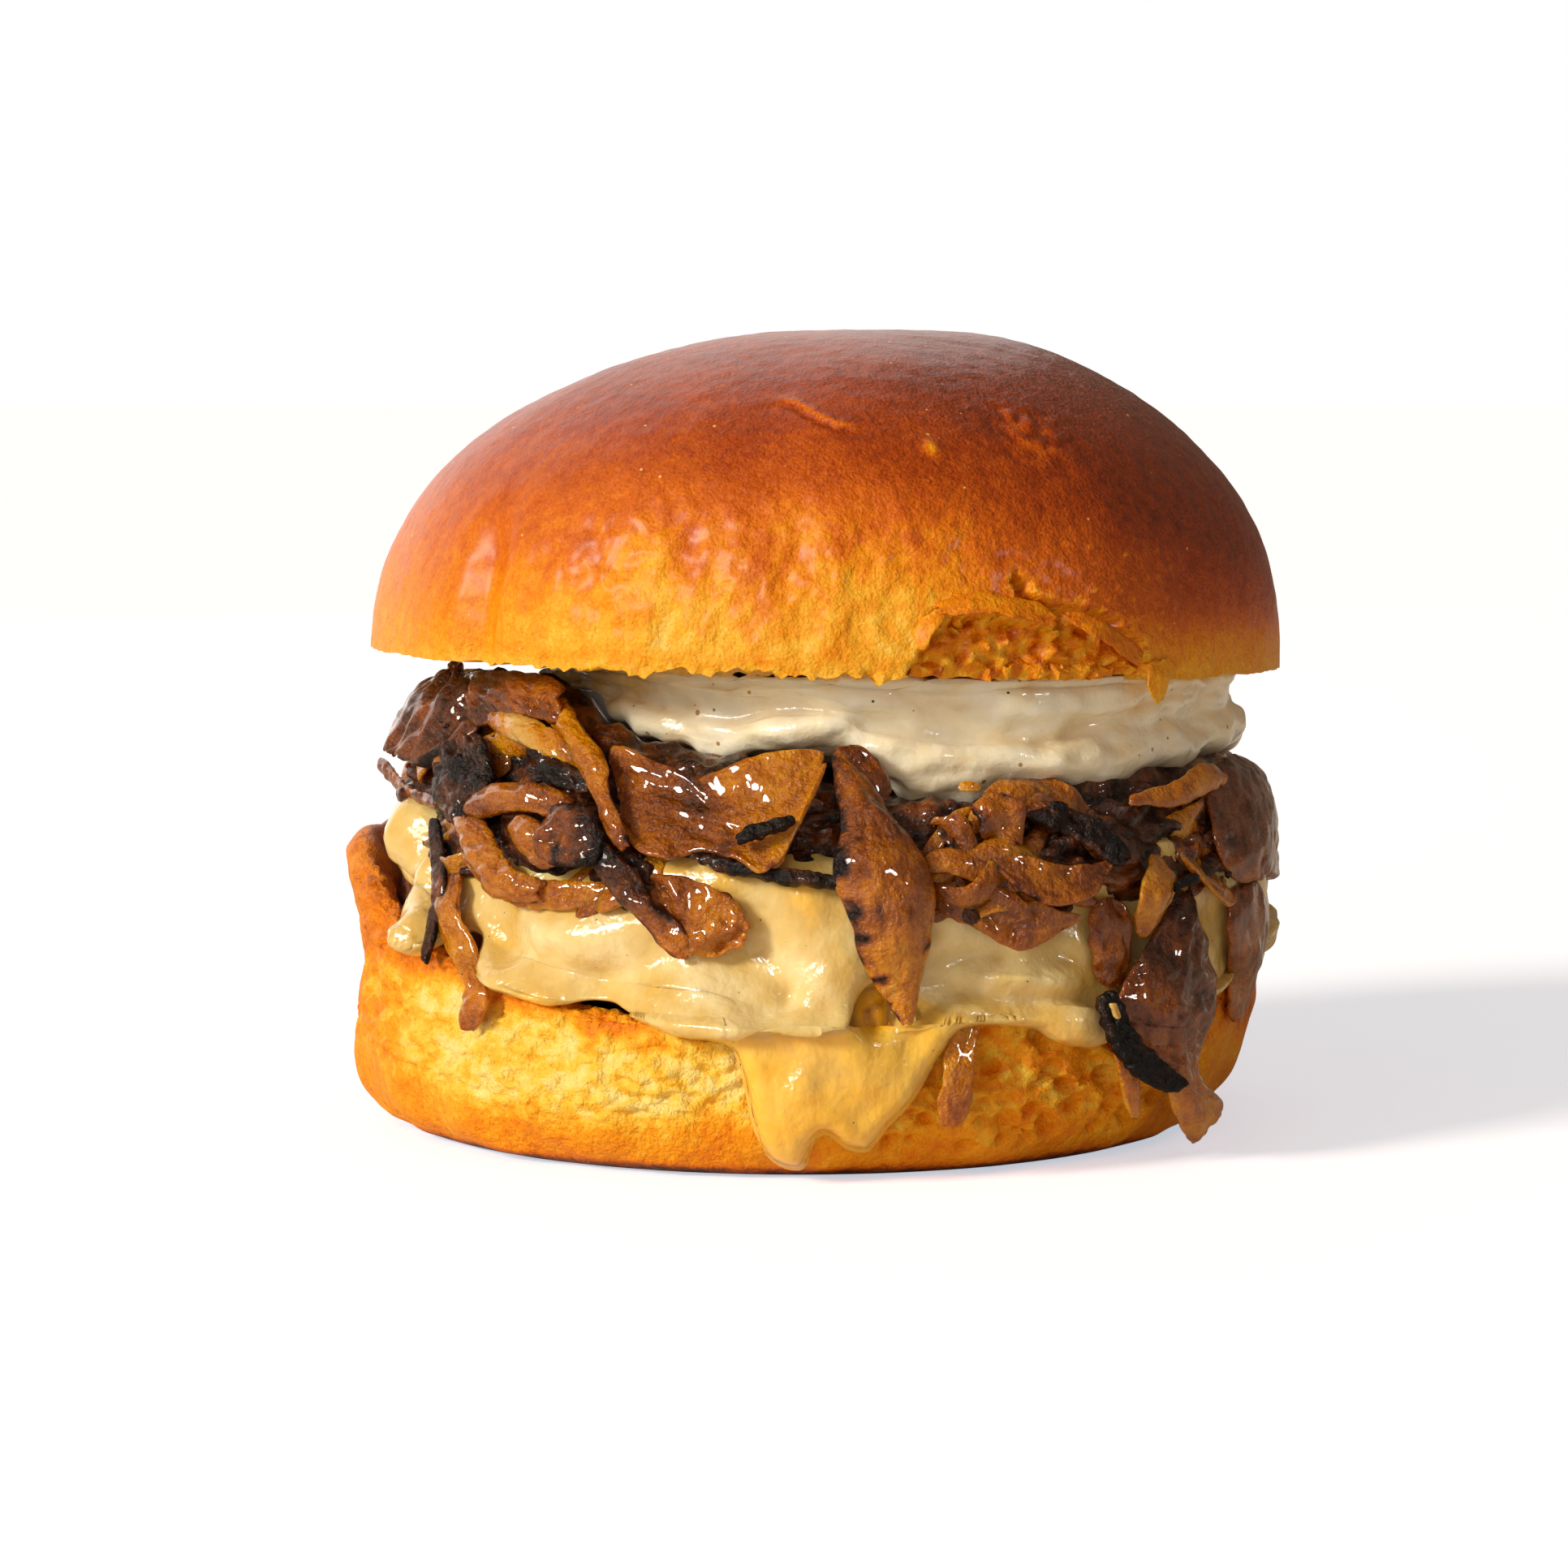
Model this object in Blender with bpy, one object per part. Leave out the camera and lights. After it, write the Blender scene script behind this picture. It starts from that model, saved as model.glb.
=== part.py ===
"""A truffle burger: a brioche bun with a beef patty, melted cheese, fried onions and truffle mayonnaise.

Run it with: blender --background --python part.py

Lengths are metres, written as millimetres times MM. +Z is up and -Y is the front of the burger, the side
where the cheese drips. Angles are measured round +Z from +X, so the front is at -90 degrees.
Every layer is a closed solid turned round its own upright axis, with a radius that changes with the angle.
"""

import math

import bmesh
import bpy
from mathutils import Matrix, Vector, noise

MM = 0.001
FRONT = -90.0

# Clear space between two layers that touch in the real burger.
GAP = 0.4 * MM

# The bun. Its two halves are one width, and the heel stands a little left of the crown.
CROWN_RADIUS = 55.0 * MM
CROWN_HEIGHT = 39.0 * MM
CROWN_UNDERSIDE = 56.0 * MM
CROWN_LEAN = 1.25
HEEL_CENTRE = (-3.0 * MM, 0.0)
HEEL_RADIUS = 54.8 * MM
HEEL_FOOT_RADIUS = 46.0 * MM
HEEL_ROUNDING = 11.0 * MM
HEEL_RIM = 18.5 * MM
HEEL_DISH = 17.0 * MM

# What lies between the halves.
PATTY_RADIUS = 49.5 * MM
CHEESE_TOP = 38.6 * MM
CHEESE_WALL = 3.0 * MM
CHEESE_SHOULDER = 30.5 * MM
MAYO_CENTRE = (5.0 * MM, -1.0 * MM)
MAYO_RADIUS = 43.5 * MM
MAYO_UNDERSIDE = 44.0 * MM
ONION_TOP = 55.0 * MM

# How many steps each layer takes round its axis. The steps are closer together at the front.
CROWN_STEPS = 60
HEEL_STEPS = 52
PATTY_STEPS = 36
CHEESE_STEPS = 76
MAYO_STEPS = 46
ONION_STEPS = 34
FRONT_CROWDING = 0.45


def clear_scene():
    for obj in list(bpy.data.objects):
        bpy.data.objects.remove(obj)


def finish_material(name, colour, roughness):
    made = bpy.data.materials.new(name)
    made.use_nodes = True
    shader = made.node_tree.nodes["Principled BSDF"]
    shader.inputs["Base Color"].default_value = (*colour, 1.0)
    shader.inputs["Roughness"].default_value = roughness
    shader.inputs["Metallic"].default_value = 0.0
    return made


def mesh_object(name, made, material=None):
    """Turns a bmesh into an object of that name, in triangles that point out."""
    bmesh.ops.triangulate(made, faces=made.faces)
    bmesh.ops.recalc_face_normals(made, faces=made.faces)
    mesh = bpy.data.meshes.new(name)
    made.to_mesh(mesh)
    made.free()
    obj = bpy.data.objects.new(name, mesh)
    bpy.context.scene.collection.objects.link(obj)
    if material:
        mesh.materials.append(material)
    mesh.shade_smooth()
    return obj


def skin_rings(rings):
    """A closed bmesh over a list of rings of points. The first and last are single points, the two poles."""
    made = bmesh.new()
    rows = [[made.verts.new(point) for point in ring] for ring in rings]
    for low, high in zip(rows, rows[1:]):
        count = max(len(low), len(high))
        for i in range(count):
            j = (i + 1) % count
            if len(low) == 1:
                made.faces.new((low[0], high[j], high[i]))
            elif len(high) == 1:
                made.faces.new((low[i], low[j], high[0]))
            else:
                made.faces.new((low[i], low[j], high[j], high[i]))
    return made


def angles(steps, crowding=FRONT_CROWDING):
    """Angles round the axis in degrees, closer together at the front, where the burger has its detail."""
    turned = []
    for i in range(steps):
        even = math.radians(FRONT + 360 * i / steps)
        turned.append(math.degrees(even - crowding * math.sin(even - math.radians(FRONT))))
    return turned


def off(angle, centre):
    """The signed angle in degrees from centre to angle."""
    return (angle - centre + 180) % 360 - 180


def hump(angle, centre, half_width, flatness=2):
    """1 at the centre angle, falling to almost 0 past the half width. A high flatness gives it a flat top."""
    return math.exp(-abs(off(angle, centre) / half_width) ** flatness)


def uneven(angle, height, scale, seed):
    """Smooth unevenness between about -1 and 1 over a wall at this angle and height."""
    turn = math.radians(angle)
    at = (math.cos(turn) * scale, math.sin(turn) * scale, height / (10 * MM) * scale * 0.2 + seed)
    return 1.6 * noise.noise(Vector(at))


def polar(centre, angle, radius, height):
    turn = math.radians(angle)
    return (centre[0] + radius * math.cos(turn), centre[1] + radius * math.sin(turn), height)


def blend(low, high, share):
    return low + (high - low) * share


def smooth_step(low, high, value):
    share = min(max((value - low) / (high - low), 0.0), 1.0)
    return share * share * (3 - 2 * share)


def rounder(first, second, softness=1.2 * MM):
    """The larger of two radii, with the corner between them eased."""
    most = max(first, second)
    return most + softness * math.log1p(math.exp(-abs(first - second) / softness)) * 0.6


# The bun's heel


def heel_rim(angle):
    """Height of the heel's upper edge. It is thick at the left and right and thin at the front."""
    left, right = hump(angle, 176, 38), hump(angle, 8, 30)
    return HEEL_RIM + 16.5 * MM * left + 9.5 * MM * right + 0.8 * MM * uneven(angle, 0, 2.2, 3)


def heel_radius(angle, height):
    """Outer radius of the heel's wall: a rounded foot, then a slightly waisted side."""
    right = hump(angle, -8, 48)
    under = 1 - min(height / (HEEL_ROUNDING + 8 * MM * right), 1.0)
    radius = blend(HEEL_FOOT_RADIUS - 2 * MM * right, HEEL_RADIUS, math.sqrt(max(1 - under**2.2, 0)))
    waist = hump(angle, 180, 60) * math.exp(-(((height - 20 * MM) / (6 * MM)) ** 2))
    return radius - 1.6 * MM * waist + 0.5 * MM * uneven(angle, height, 2.0, 11) * (1 - under)


# The heel's dished inside, from its floor to its rim: radius in mm and share of the way up to the rim.
HEEL_INSIDE = ((43.0, 0.0), (48.6, 0.55), (50.8, 0.88), (52.4, 1.0))


def heel_inside(angle, height):
    """Radius of the dished inside at this height."""
    share = (height - HEEL_DISH) / (heel_rim(angle) - HEEL_DISH)
    for (low, low_share), (high, high_share) in zip(HEEL_INSIDE, HEEL_INSIDE[1:]):
        if share <= high_share:
            return blend(low, high, (share - low_share) / (high_share - low_share)) * MM
    return HEEL_RADIUS


def heel_rings():
    turn = angles(HEEL_STEPS)
    rings = [[polar(HEEL_CENTRE, FRONT, 0, 0)]]
    for share in (0.0, 0.05, 0.17, 0.36, 0.58, 0.8, 0.93):
        ring = []
        for a in turn:
            height = share * heel_rim(a)
            ring.append(polar(HEEL_CENTRE, a, heel_radius(a, height), height))
        rings.append(ring)
    for radius, share in reversed(HEEL_INSIDE):
        rings.append([polar(HEEL_CENTRE, a, radius * MM, blend(HEEL_DISH, heel_rim(a), share)) for a in turn])
    rings.append([polar(HEEL_CENTRE, FRONT, 0, HEEL_DISH)])
    return rings


# The patty, which sits in the heel's dish

# Its outline from the underside to the top: share of its radius, and height in mm above its underside.
PATTY_PROFILE = ((0.84, 0.0), (0.97, 2.4), (1.0, 5.5), (1.01, 10.0), (0.98, 14.0), (0.9, 17.0), (0.5, 17.6))


def patty_rings():
    base = HEEL_DISH + GAP
    turn = angles(PATTY_STEPS)
    rings = [[polar(HEEL_CENTRE, FRONT, 0, base)]]
    for share, above in PATTY_PROFILE:
        ring = []
        for a in turn:
            height = base + above * MM
            crag = 0.9 * MM * uneven(a, height, 5.0, 21) * smooth_step(0.7, 0.95, share)
            radius = min(PATTY_RADIUS * share + crag, heel_inside(a, height) - 0.7 * MM)
            ring.append(polar(HEEL_CENTRE, a, radius, height))
        rings.append(ring)
    rings.append([polar(HEEL_CENTRE, FRONT, 0, base + PATTY_PROFILE[-1][1] * MM)])
    return rings


# The melted cheese

# Its lower edge, as (angle, height in mm). The main drip, in two lobes, is at -98 to -84.
CHEESE_EDGE = (
    (-172, 36.6), (-166, 34.0), (-160, 29.6), (-154, 30.5), (-149, 23.8), (-146, 22.8), (-136.6, 23.5),
    (-127.3, 20.0), (-122.8, 18.8), (-115, 19.8), (-107.7, 16.5), (-101, 15.6), (-98.8, 8.5), (-97.2, 3.6),
    (-94.6, 1.3), (-92.4, 1.5), (-90.6, 5.6), (-88.2, 4.2), (-85, 3.4), (-83.6, 5.8), (-80, 11.4),
    (-75.9, 16.4), (-72, 17.7), (-62.5, 17.0), (-58.7, 14.2), (-54, 13.2), (-46, 15.0), (-35, 17.5),
    (-22, 22.5), (-12, 20.5), (-3, 28.0), (8, 31.5), (20, 25.0), (32, 14.5), (40, 18.0), (55, 20.5),
    (70, 12.0), (80, 6.0), (87, 4.6), (94, 14.0), (104, 12.5), (112, 19.0), (128, 20.5), (138, 14.5),
    (147, 24.0), (156, 33.0), (166, 36.8),
)


def edge_height(edge, angle):
    """Height of a lower edge at this angle, eased between the points of its outline, which runs round."""
    turned = (angle - edge[0][0]) % 360 + edge[0][0]
    points = (*edge, (edge[0][0] + 360, edge[0][1]))
    for (low_angle, low), (high_angle, high) in zip(points, points[1:]):
        if turned <= high_angle:
            return blend(low, high, smooth_step(low_angle, high_angle, turned)) * MM
    return points[-1][1] * MM


def cheese_hem(angle):
    return edge_height(CHEESE_EDGE, angle)


def support_radius(angle, height):
    """Outer radius of what the cheese lies on: the patty, and the heel below its rim."""
    patty = PATTY_RADIUS + 1.0 * MM
    rim = heel_rim(angle)
    if height > rim:
        heel = HEEL_RADIUS - 1.2 * MM - 1.6 * (height - rim)
    else:
        heel = heel_radius(angle, height)
    shifted = heel + HEEL_CENTRE[0] * math.cos(math.radians(angle))
    return rounder(patty, shifted)


def cheese_radius(angle, height):
    hem = cheese_hem(angle)
    above = max(height - hem, 0.0)
    wall = (CHEESE_WALL + 1.2 * MM * hump(angle, -92, 9)) * math.sqrt(1 - math.exp(-above / (1.6 * MM)))
    folds = 0.7 * MM * uneven(angle, height, 3.2, 41) * smooth_step(2 * MM, 6 * MM, above)
    return support_radius(angle, height) + wall + folds


def cheese_shoulder(angle):
    """Height at which the cheese turns over from its top to its hanging side."""
    return max(CHEESE_SHOULDER, cheese_hem(angle) + 1.5 * MM)


def cheese_rings():
    centre = (0.0, 0.0)
    turn = angles(CHEESE_STEPS)
    rings = [[polar(centre, FRONT, 0, CHEESE_TOP)]]
    rings.append([polar(centre, a, 24 * MM, CHEESE_TOP) for a in turn])
    for lift in (84, 50, 24):
        ring = []
        for a in turn:
            shoulder = cheese_shoulder(a)
            top = max(CHEESE_TOP, shoulder + 3.0 * MM) + 2.5 * MM * hump(a, -166, 16)
            out = blend(40 * MM, cheese_radius(a, shoulder), math.cos(math.radians(lift)) ** 0.8)
            ring.append(polar(centre, a, out, blend(shoulder, top, math.sin(math.radians(lift)) ** 0.8)))
        rings.append(ring)
    for share in (0.0, 0.25, 0.5, 0.71, 0.87, 0.965):
        ring = []
        for a in turn:
            height = blend(cheese_shoulder(a), cheese_hem(a), share)
            ring.append(polar(centre, a, cheese_radius(a, height), height))
        rings.append(ring)
    inner = []
    for a in turn:
        hem = cheese_hem(a)
        inner.append(polar(centre, a, support_radius(a, hem) - 2.5 * MM, hem + 0.6 * MM))
    rings.append(inner)
    rings.append([polar(centre, FRONT, 0, 25 * MM)])
    return rings


# The truffle mayonnaise


# Its lower edge, as (angle, height in mm), which sags between the onions that it lies on.
MAYO_EDGE = (
    (-165, 53.5), (-143.3, 52.4), (-134.7, 49.7), (-124.8, 47.2), (-113.7, 45.6), (-107.4, 47.4),
    (-100.2, 48.3), (-94.2, 47.7), (-89.5, 44.5), (-83.7, 41.8), (-77.1, 40.9), (-68.8, 42.3),
    (-47.1, 42.9), (-34.9, 43.5), (-23.5, 44.4), (0, 45.5), (40, 42.5), (75, 45.0), (110, 43.0), (150, 48.5),
)


def mayo_hem(angle):
    return edge_height(MAYO_EDGE, angle)


def mayo_edge(angle):
    shrink = 5.5 * MM * hump(angle, 178, 55)
    return MAYO_RADIUS - shrink + 1.0 * MM * uneven(angle, 0, 2.4, 61)


# Its bulging side, in two folds: share of the way up to the crown, and millimetres outside its edge.
MAYO_PROFILE = ((0.0, -3.4), (0.06, -0.4), (0.22, 1.2), (0.42, 0.9), (0.56, 0.2), (0.75, 1.0), (0.9, 0.6))


def mayo_rings():
    top = CROWN_UNDERSIDE + 1.5 * MM
    turn = angles(MAYO_STEPS)
    rings = [[polar(MAYO_CENTRE, FRONT, 0, MAYO_UNDERSIDE)]]
    rings.append([polar(MAYO_CENTRE, a, 26 * MM, MAYO_UNDERSIDE) for a in turn])
    for share, bulge in MAYO_PROFILE:
        ring = []
        for a in turn:
            hem = mayo_hem(a)
            height = blend(hem, CROWN_UNDERSIDE, share)
            wave = 0.7 * MM * uneven(a, height, 3.0, 71)
            ring.append(polar(MAYO_CENTRE, a, mayo_edge(a) + bulge * MM + wave, height))
        rings.append(ring)
    rings.append([polar(MAYO_CENTRE, a, mayo_edge(a) - 2 * MM, top) for a in turn])
    rings.append([polar(MAYO_CENTRE, FRONT, 0, top)])
    return rings


# The bun's crown


def crown_radius(angle, share):
    """Radius of the crown's wall. share is the height above its underside, from 0 to 1."""
    power = 2.25 + 0.1 * math.cos(math.radians(angle))
    curve = (1 - min(share, 1.0) ** power) ** (1 / power)
    edge = CROWN_RADIUS - 0.9 * MM * hump(angle, 0, 60) + 0.4 * MM * uneven(angle, 0, 2.0, 81)
    kissed = 1.6 * MM * hump(angle, -104, 32, 4) * (1 - smooth_step(0.3, 0.75, share))
    crease = 1.5 * MM * hump(angle, -139, 4) * (1 - smooth_step(0.35, 0.6, share))
    return edge * curve - kissed - crease + 0.5 * MM * uneven(angle, share * 30 * MM, 3.0, 91) * curve


def torn_depth(angle, height):
    """Depth of the place at the front right where the crust has torn away from the crumb."""
    top = (8.5 + 3.0 * hump(angle, -62, 5) - 4.0 * hump(angle, -80, 5)) * MM
    across = hump(angle, -63, 17, 8)
    return 2.4 * MM * across * (1 - smooth_step(top - 1.5 * MM, top + 0.8 * MM, height))


def dome_swell(x, y):
    """Unevenness of the risen top: full at the right of the middle and a little low at the left."""
    high = 1.5 * math.exp(-((x / MM - 24) ** 2 + (y / MM) ** 2) / 17**2)
    low = 1.0 * math.exp(-((x / MM + 33) ** 2 + (y / MM) ** 2) / 15**2)
    return (high - low) * MM


def crown_rings():
    centre = (0.0, 0.0)
    turn = angles(CROWN_STEPS)
    rings = [[polar(centre, FRONT, 0, 0)]]
    rings.append([polar(centre, a, crown_radius(a, 0.0) - torn_depth(a, 0.0) - 1.2 * MM, 0) for a in turn])
    for height in (0.5, 3.4, 6.6, 9.2, 12.5, 18.0, 24.0, 29.5, 34.0, 37.2):
        share = height * MM / CROWN_HEIGHT
        ring = []
        for a in turn:
            ragged = 0.7 * MM * uneven(a, 0, 7.0, 101) if height == 0.5 else 0.0
            radius = crown_radius(a, share) - torn_depth(a, height * MM)
            x, y, z = polar(centre, a, radius, height * MM + max(ragged, -0.4 * MM))
            ring.append((x, y, z + dome_swell(x, y) + 0.4 * MM * uneven(a, 0, 2.5, 111) * share))
        rings.append(ring)
    rings.append([polar(centre, FRONT, 0, CROWN_HEIGHT + dome_swell(0, 0))])
    return rings


def crown_flap():
    """The tongue of crust that hangs from the torn place, past the crown's lower edge."""
    places = (
        (-48.5, 9.5, 3.4, -0.9), (-49.5, 5.0, 2.6, 0.2), (-49.0, 1.0, 1.9, 0.5), (-48.5, -2.6, 1.0, 0.3)
    )
    rings = []
    for angle, height, half_width, stand in places:
        middle = CROWN_RADIUS + stand * MM - 0.9 * MM
        spread = math.degrees(half_width * MM / middle)
        corners = ((-spread, -0.9), (spread, -0.9), (spread, 0.9), (-spread, 0.9))
        rings.append([polar((0, 0), angle + turn, middle + deep * MM, height * MM) for turn, deep in corners])
    first = [tuple(sum(point[k] for point in rings[0]) / 4 for k in range(3))]
    last = [tuple(sum(point[k] for point in rings[-1]) / 4 for k in range(3))]
    return mesh_object("flap", skin_rings([first, *rings, last]))


# The fried onions


def skin_radius(angle, height):
    """Outer radius of the cheese and the heel, carried on upwards to the crown. Hanging onions lie on it."""
    if height < cheese_hem(angle) and height < heel_rim(angle):
        return heel_radius(angle, height) + HEEL_CENTRE[0] * math.cos(math.radians(angle))
    low = cheese_radius(angle, min(height, 31 * MM))
    return min(low, 54 * MM) - 0.38 * max(height - 31 * MM, 0)


def on_skin(x, height, stand):
    """The point at this x and height that stands off the front of the burger by this much."""
    y = -math.sqrt(max((54 * MM) ** 2 - x**2, (8 * MM) ** 2))
    for _ in range(4):
        angle = math.degrees(math.atan2(y, x))
        radius = skin_radius(angle, height) + stand
        y = -math.sqrt(max(radius**2 - x**2, (8 * MM) ** 2))
    return Vector((x, y, height))


# The heap's middle from its hem up to its crest: the share of that height, and how far it stands off.
CORE_PROFILE = ((0.1, -4.0), (0.0, 0.8), (0.3, 1.9), (0.62, 1.4), (0.9, 0.2), (1.0, -4.0))


def onion_core_rings():
    """The uneven middle of the heap, from which the cheese and the mayonnaise are cut afterwards."""
    centre = (0.0, 0.0)
    turn = angles(ONION_STEPS, 0.3)
    rings = [[polar(centre, FRONT, 0, 33 * MM)]]
    for share, stand in CORE_PROFILE:
        ring = []
        for a in turn:
            height = blend(onion_hem(a), onion_crest(a), share)
            lump = 1.3 * MM * uneven(a, height, 6.5, 121)
            ring.append(polar(centre, a, skin_radius(a, height) + stand * MM * onion_swell(a) + lump, height))
        rings.append(ring)
    rings.append([polar(centre, FRONT, 0, ONION_TOP)])
    return rings


def onion_hem(angle):
    """Height of the heap's lower edge, where the onions slump over the cheese."""
    hem = 32.5 + 2.0 * uneven(angle, 0, 3.0, 131)
    hem += 3.5 * hump(angle, -100, 10) - 2.5 * hump(angle, -62, 16) + 8.0 * hump(angle, 177, 28)
    hem -= 3.5 * hump(angle, -8, 22)
    return hem * MM


def onion_crest(angle):
    """Height of the heap's upper outer edge: up to the crown at the left, under the mayonnaise elsewhere."""
    return (45.5 + 9.0 * hump(angle, -163, 40) + 5.0 * hump(angle, 120, 30) + 1.5 * hump(angle, 10, 30)) * MM


def onion_swell(angle):
    return 0.8 + 0.5 * hump(angle, -5, 35) + 0.2 * hump(angle, -150, 30)


def curve_through(points, stations):
    """Points evenly spread by parameter along a smooth curve through the given ones."""
    ends = [points[0] * 2 - points[1], *points, points[-1] * 2 - points[-2]]
    made = []
    for i in range(stations):
        at = i / (stations - 1) * (len(points) - 1)
        k = min(int(at), len(points) - 2)
        t = at - k
        a, b, c, d = ends[k : k + 4]
        made.append(
            0.5 * (2 * b + (c - a) * t + (2 * a - 5 * b + 4 * c - d) * t * t + (3 * b - a - 3 * c + d) * t**3)
        )
    return made


def value_along(values, share):
    at = share * (len(values) - 1)
    k = min(int(at), len(values) - 2)
    return blend(values[k], values[k + 1], at - k)


def shred(name, spine, widths, thickness, cup, roll, stations, facing=1.0):
    """A closed strip of onion along the spine, flat side out, with its edges curled in by cup.

    A facing of 1 turns it straight out from the burger's axis, and less than 1 turns it towards the front.
    """
    points = curve_through(spine, stations)
    across = 2 if max(widths) > 5 * MM else 1
    rings = []
    for i, point in enumerate(points):
        ahead, behind = points[min(i + 1, stations - 1)], points[max(i - 1, 0)]
        along = (ahead - behind).normalized()
        out = Vector((point.x * facing, point.y, 0.0)).normalized()
        side = along.cross(out).normalized()
        out = side.cross(along).normalized()
        share = i / (stations - 1)
        turn = math.radians(roll * share)
        side, out = side * math.cos(turn) + out * math.sin(turn), out * math.cos(turn) - side * math.sin(turn)
        half = value_along(widths, share) / 2
        wave = 0.25 * MM * math.sin(7 * share + len(name))
        upper, lower = [], []
        for j in range(across + 1):
            u = 2 * j / across - 1
            edge = 0.45 + 0.55 * (1 - u * u) if across == 2 else 1.0
            middle = point + side * (half * u) + out * (cup * (1 - u * u) * half + wave)
            upper.append(middle + out * (thickness / 2 * edge))
            lower.append(middle - out * (thickness / 2 * edge))
        rings.append(upper + lower[::-1])
    first = [sum(rings[0], Vector()) / len(rings[0])]
    last = [sum(rings[-1], Vector()) / len(rings[-1])]
    return mesh_object(name, skin_rings([first, *rings, last]))


# The large onion pieces at the front. Each has a name, its thickness, its cup, its widths from end to end,
# and its spine as (x, height, stand off the layers behind), all in millimetres.
FRONT_ONIONS = (
    ("petal_awning", 1.3, -0.35, (9, 12, 12, 9.5), (
        (-23.5, 43.5, 1.6), (-17, 41.5, 3.4), (-9, 41.8, 4.6), (-1, 44.5, 3),
    )),
    ("strip_upright", 2.2, 0.0, (4.2, 4, 3.6, 3), (
        (-29.5, 53.2, 1), (-27.2, 48.6, 2.6), (-24.6, 43.6, 4), (-21.6, 38.4, 4.4),
    )),
    ("petal_tongue", 1.6, 0.35, (3, 7, 10, 9.2, 7.6, 1.2), (
        (1.6, 47.6, 1.2), (4.6, 41.6, 4), (6.4, 35.2, 4.6), (7.2, 29, 3.2), (7.9, 23, 2.2),
        (8.6, 18.6, 2.2),
    )),
    ("burnt_bar", 1.8, 0.0, (2.2, 2.4, 2), (
        (-14.6, 36.6, 3), (-7, 35.2, 3.4), (1.6, 34.6, 3.4),
    )),
    ("clump_left", 3.4, 0.2, (4.5, 6.5, 5.5), (
        (-32.4, 36.6, 2.6), (-28.4, 41, 3.4), (-24, 40.4, 3.6),
    )),
    ("strip_charred", 2.6, 0.2, (4.2, 4.4, 4, 3.4), (
        (-25, 40.6, 3.4), (-21.4, 35.4, 3.6), (-18.4, 30.8, 2.6), (-14.8, 27.2, 1.8),
    )),
    ("clump_low", 3.0, 0.3, (5, 7, 6), (
        (-17.2, 32.4, 2.2), (-13.4, 29.8, 2), (-9.4, 28.6, 1.8),
    )),
    ("curl_left", 1.8, 0.3, (3.5, 5, 4.5), (
        (-38.6, 36.5, 2.2), (-37.2, 42.6, 2.2), (-31.4, 45.4, 2.2),
    )),
    ("petal_left", 1.8, 0.3, (4, 6, 4.5), (
        (-37.4, 41.6, 3), (-33.6, 36.4, 3.4), (-28, 32.6, 2),
    )),
    ("sliver_left", 1.6, 0.0, (3, 4.2, 3), (
        (-36.4, 33.8, 1.8), (-30.2, 32.4, 2), (-24.4, 33.2, 2),
    )),
    ("strand_left", 1.6, 0.0, (2.6, 2.4, 2.4, 1.6), (
        (-42.4, 39.4, 2.2), (-43.8, 33.4, 1.6), (-44, 27.4, 1.6), (-44.8, 22.8, 2),
    )),
    ("tail_left", 1.4, 0.1, (3, 3.6, 3, 4.4, 2.6), (
        (-43.6, 29.4, 1.6), (-41.8, 25.4, 1.6), (-41, 21.8, 1.4), (-40.8, 18.4, 1.6),
        (-40.4, 14.6, 1.4),
    )),
    ("band_left", 1.8, 0.2, (3.2, 4, 3.4), (
        (-39.6, 50.6, 1.4), (-35, 49.8, 2.2), (-28.8, 47, 2),
    )),
    ("band_top", 1.8, 0.2, (2, 6, 6), (
        (-53, 45.4, 2.4), (-46.5, 49.4, 3.2), (-36, 52.2, 2.2),
    )),
    ("burnt_left", 2, 0.1, (4, 6.4, 4), (
        (-45.4, 52.4, 1.6), (-47.6, 47.6, 2.6), (-42.6, 42.6, 2.6),
    )),
    ("strand_far", 1.8, 0, (2.4, 3.2, 2.6), (
        (-55.2, 38.4, 2), (-53.4, 42, 2.4), (-45, 45, 1.8),
    )),
    ("lobe_smile", 2.0, 0.3, (4, 6.4, 6.4, 3.6), (
        (16.6, 37.4, 2.4), (21.4, 33.6, 3), (27, 32.6, 3), (32.2, 34.4, 2.4),
    )),
    ("petal_flat", 1.6, 0.2, (5, 6.4, 6, 3.4), (
        (10.8, 36.4, 2), (16, 33.6, 2), (21.4, 30.4, 2), (28.2, 29.6, 1.8),
    )),
    ("crumb_right", 3.4, 0.2, (4.4, 5.6, 4.4), (
        (15.2, 44, 2.8), (18.2, 41.8, 3.4), (21.2, 38.8, 3.2),
    )),
    ("strip_orange", 1.8, 0.1, (2.4, 3, 3.4), (
        (33, 41.4, 2.4), (40.6, 41.2, 3), (46.2, 43.2, 3),
    )),
    ("strip_right", 1.5, 0.1, (3.4, 4.4, 3), (
        (37.4, 35, 2.6), (36, 30.4, 2.2), (34.6, 25.8, 1.6),
    )),
    ("petal_right", 1.6, 0.3, (3.6, 5.6, 8.6, 9.4, 8, 4.8, 1), (
        (38, 37, 0.6), (38.2, 31, 2), (37.6, 24.4, 2.6), (38, 17.6, 3), (39.2, 11.4, 4.2),
        (40.2, 6.4, 5.6), (40.6, 2.6, 6.2),
    )),
    ("sliver_low", 1.6, 0.0, (3.4, 3, 1.6), (
        (32.8, 17.4, 2.6), (34, 11, 3.4), (34.9, 5.4, 3.6),
    )),
    ("burnt_stick", 2.4, 0.0, (2.8, 3.2, 3.2, 2.8), (
        (31, 19.4, 3.4), (33.2, 14.6, 4), (36, 11.2, 5.2), (39.4, 9, 6.2),
    )),
)


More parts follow.
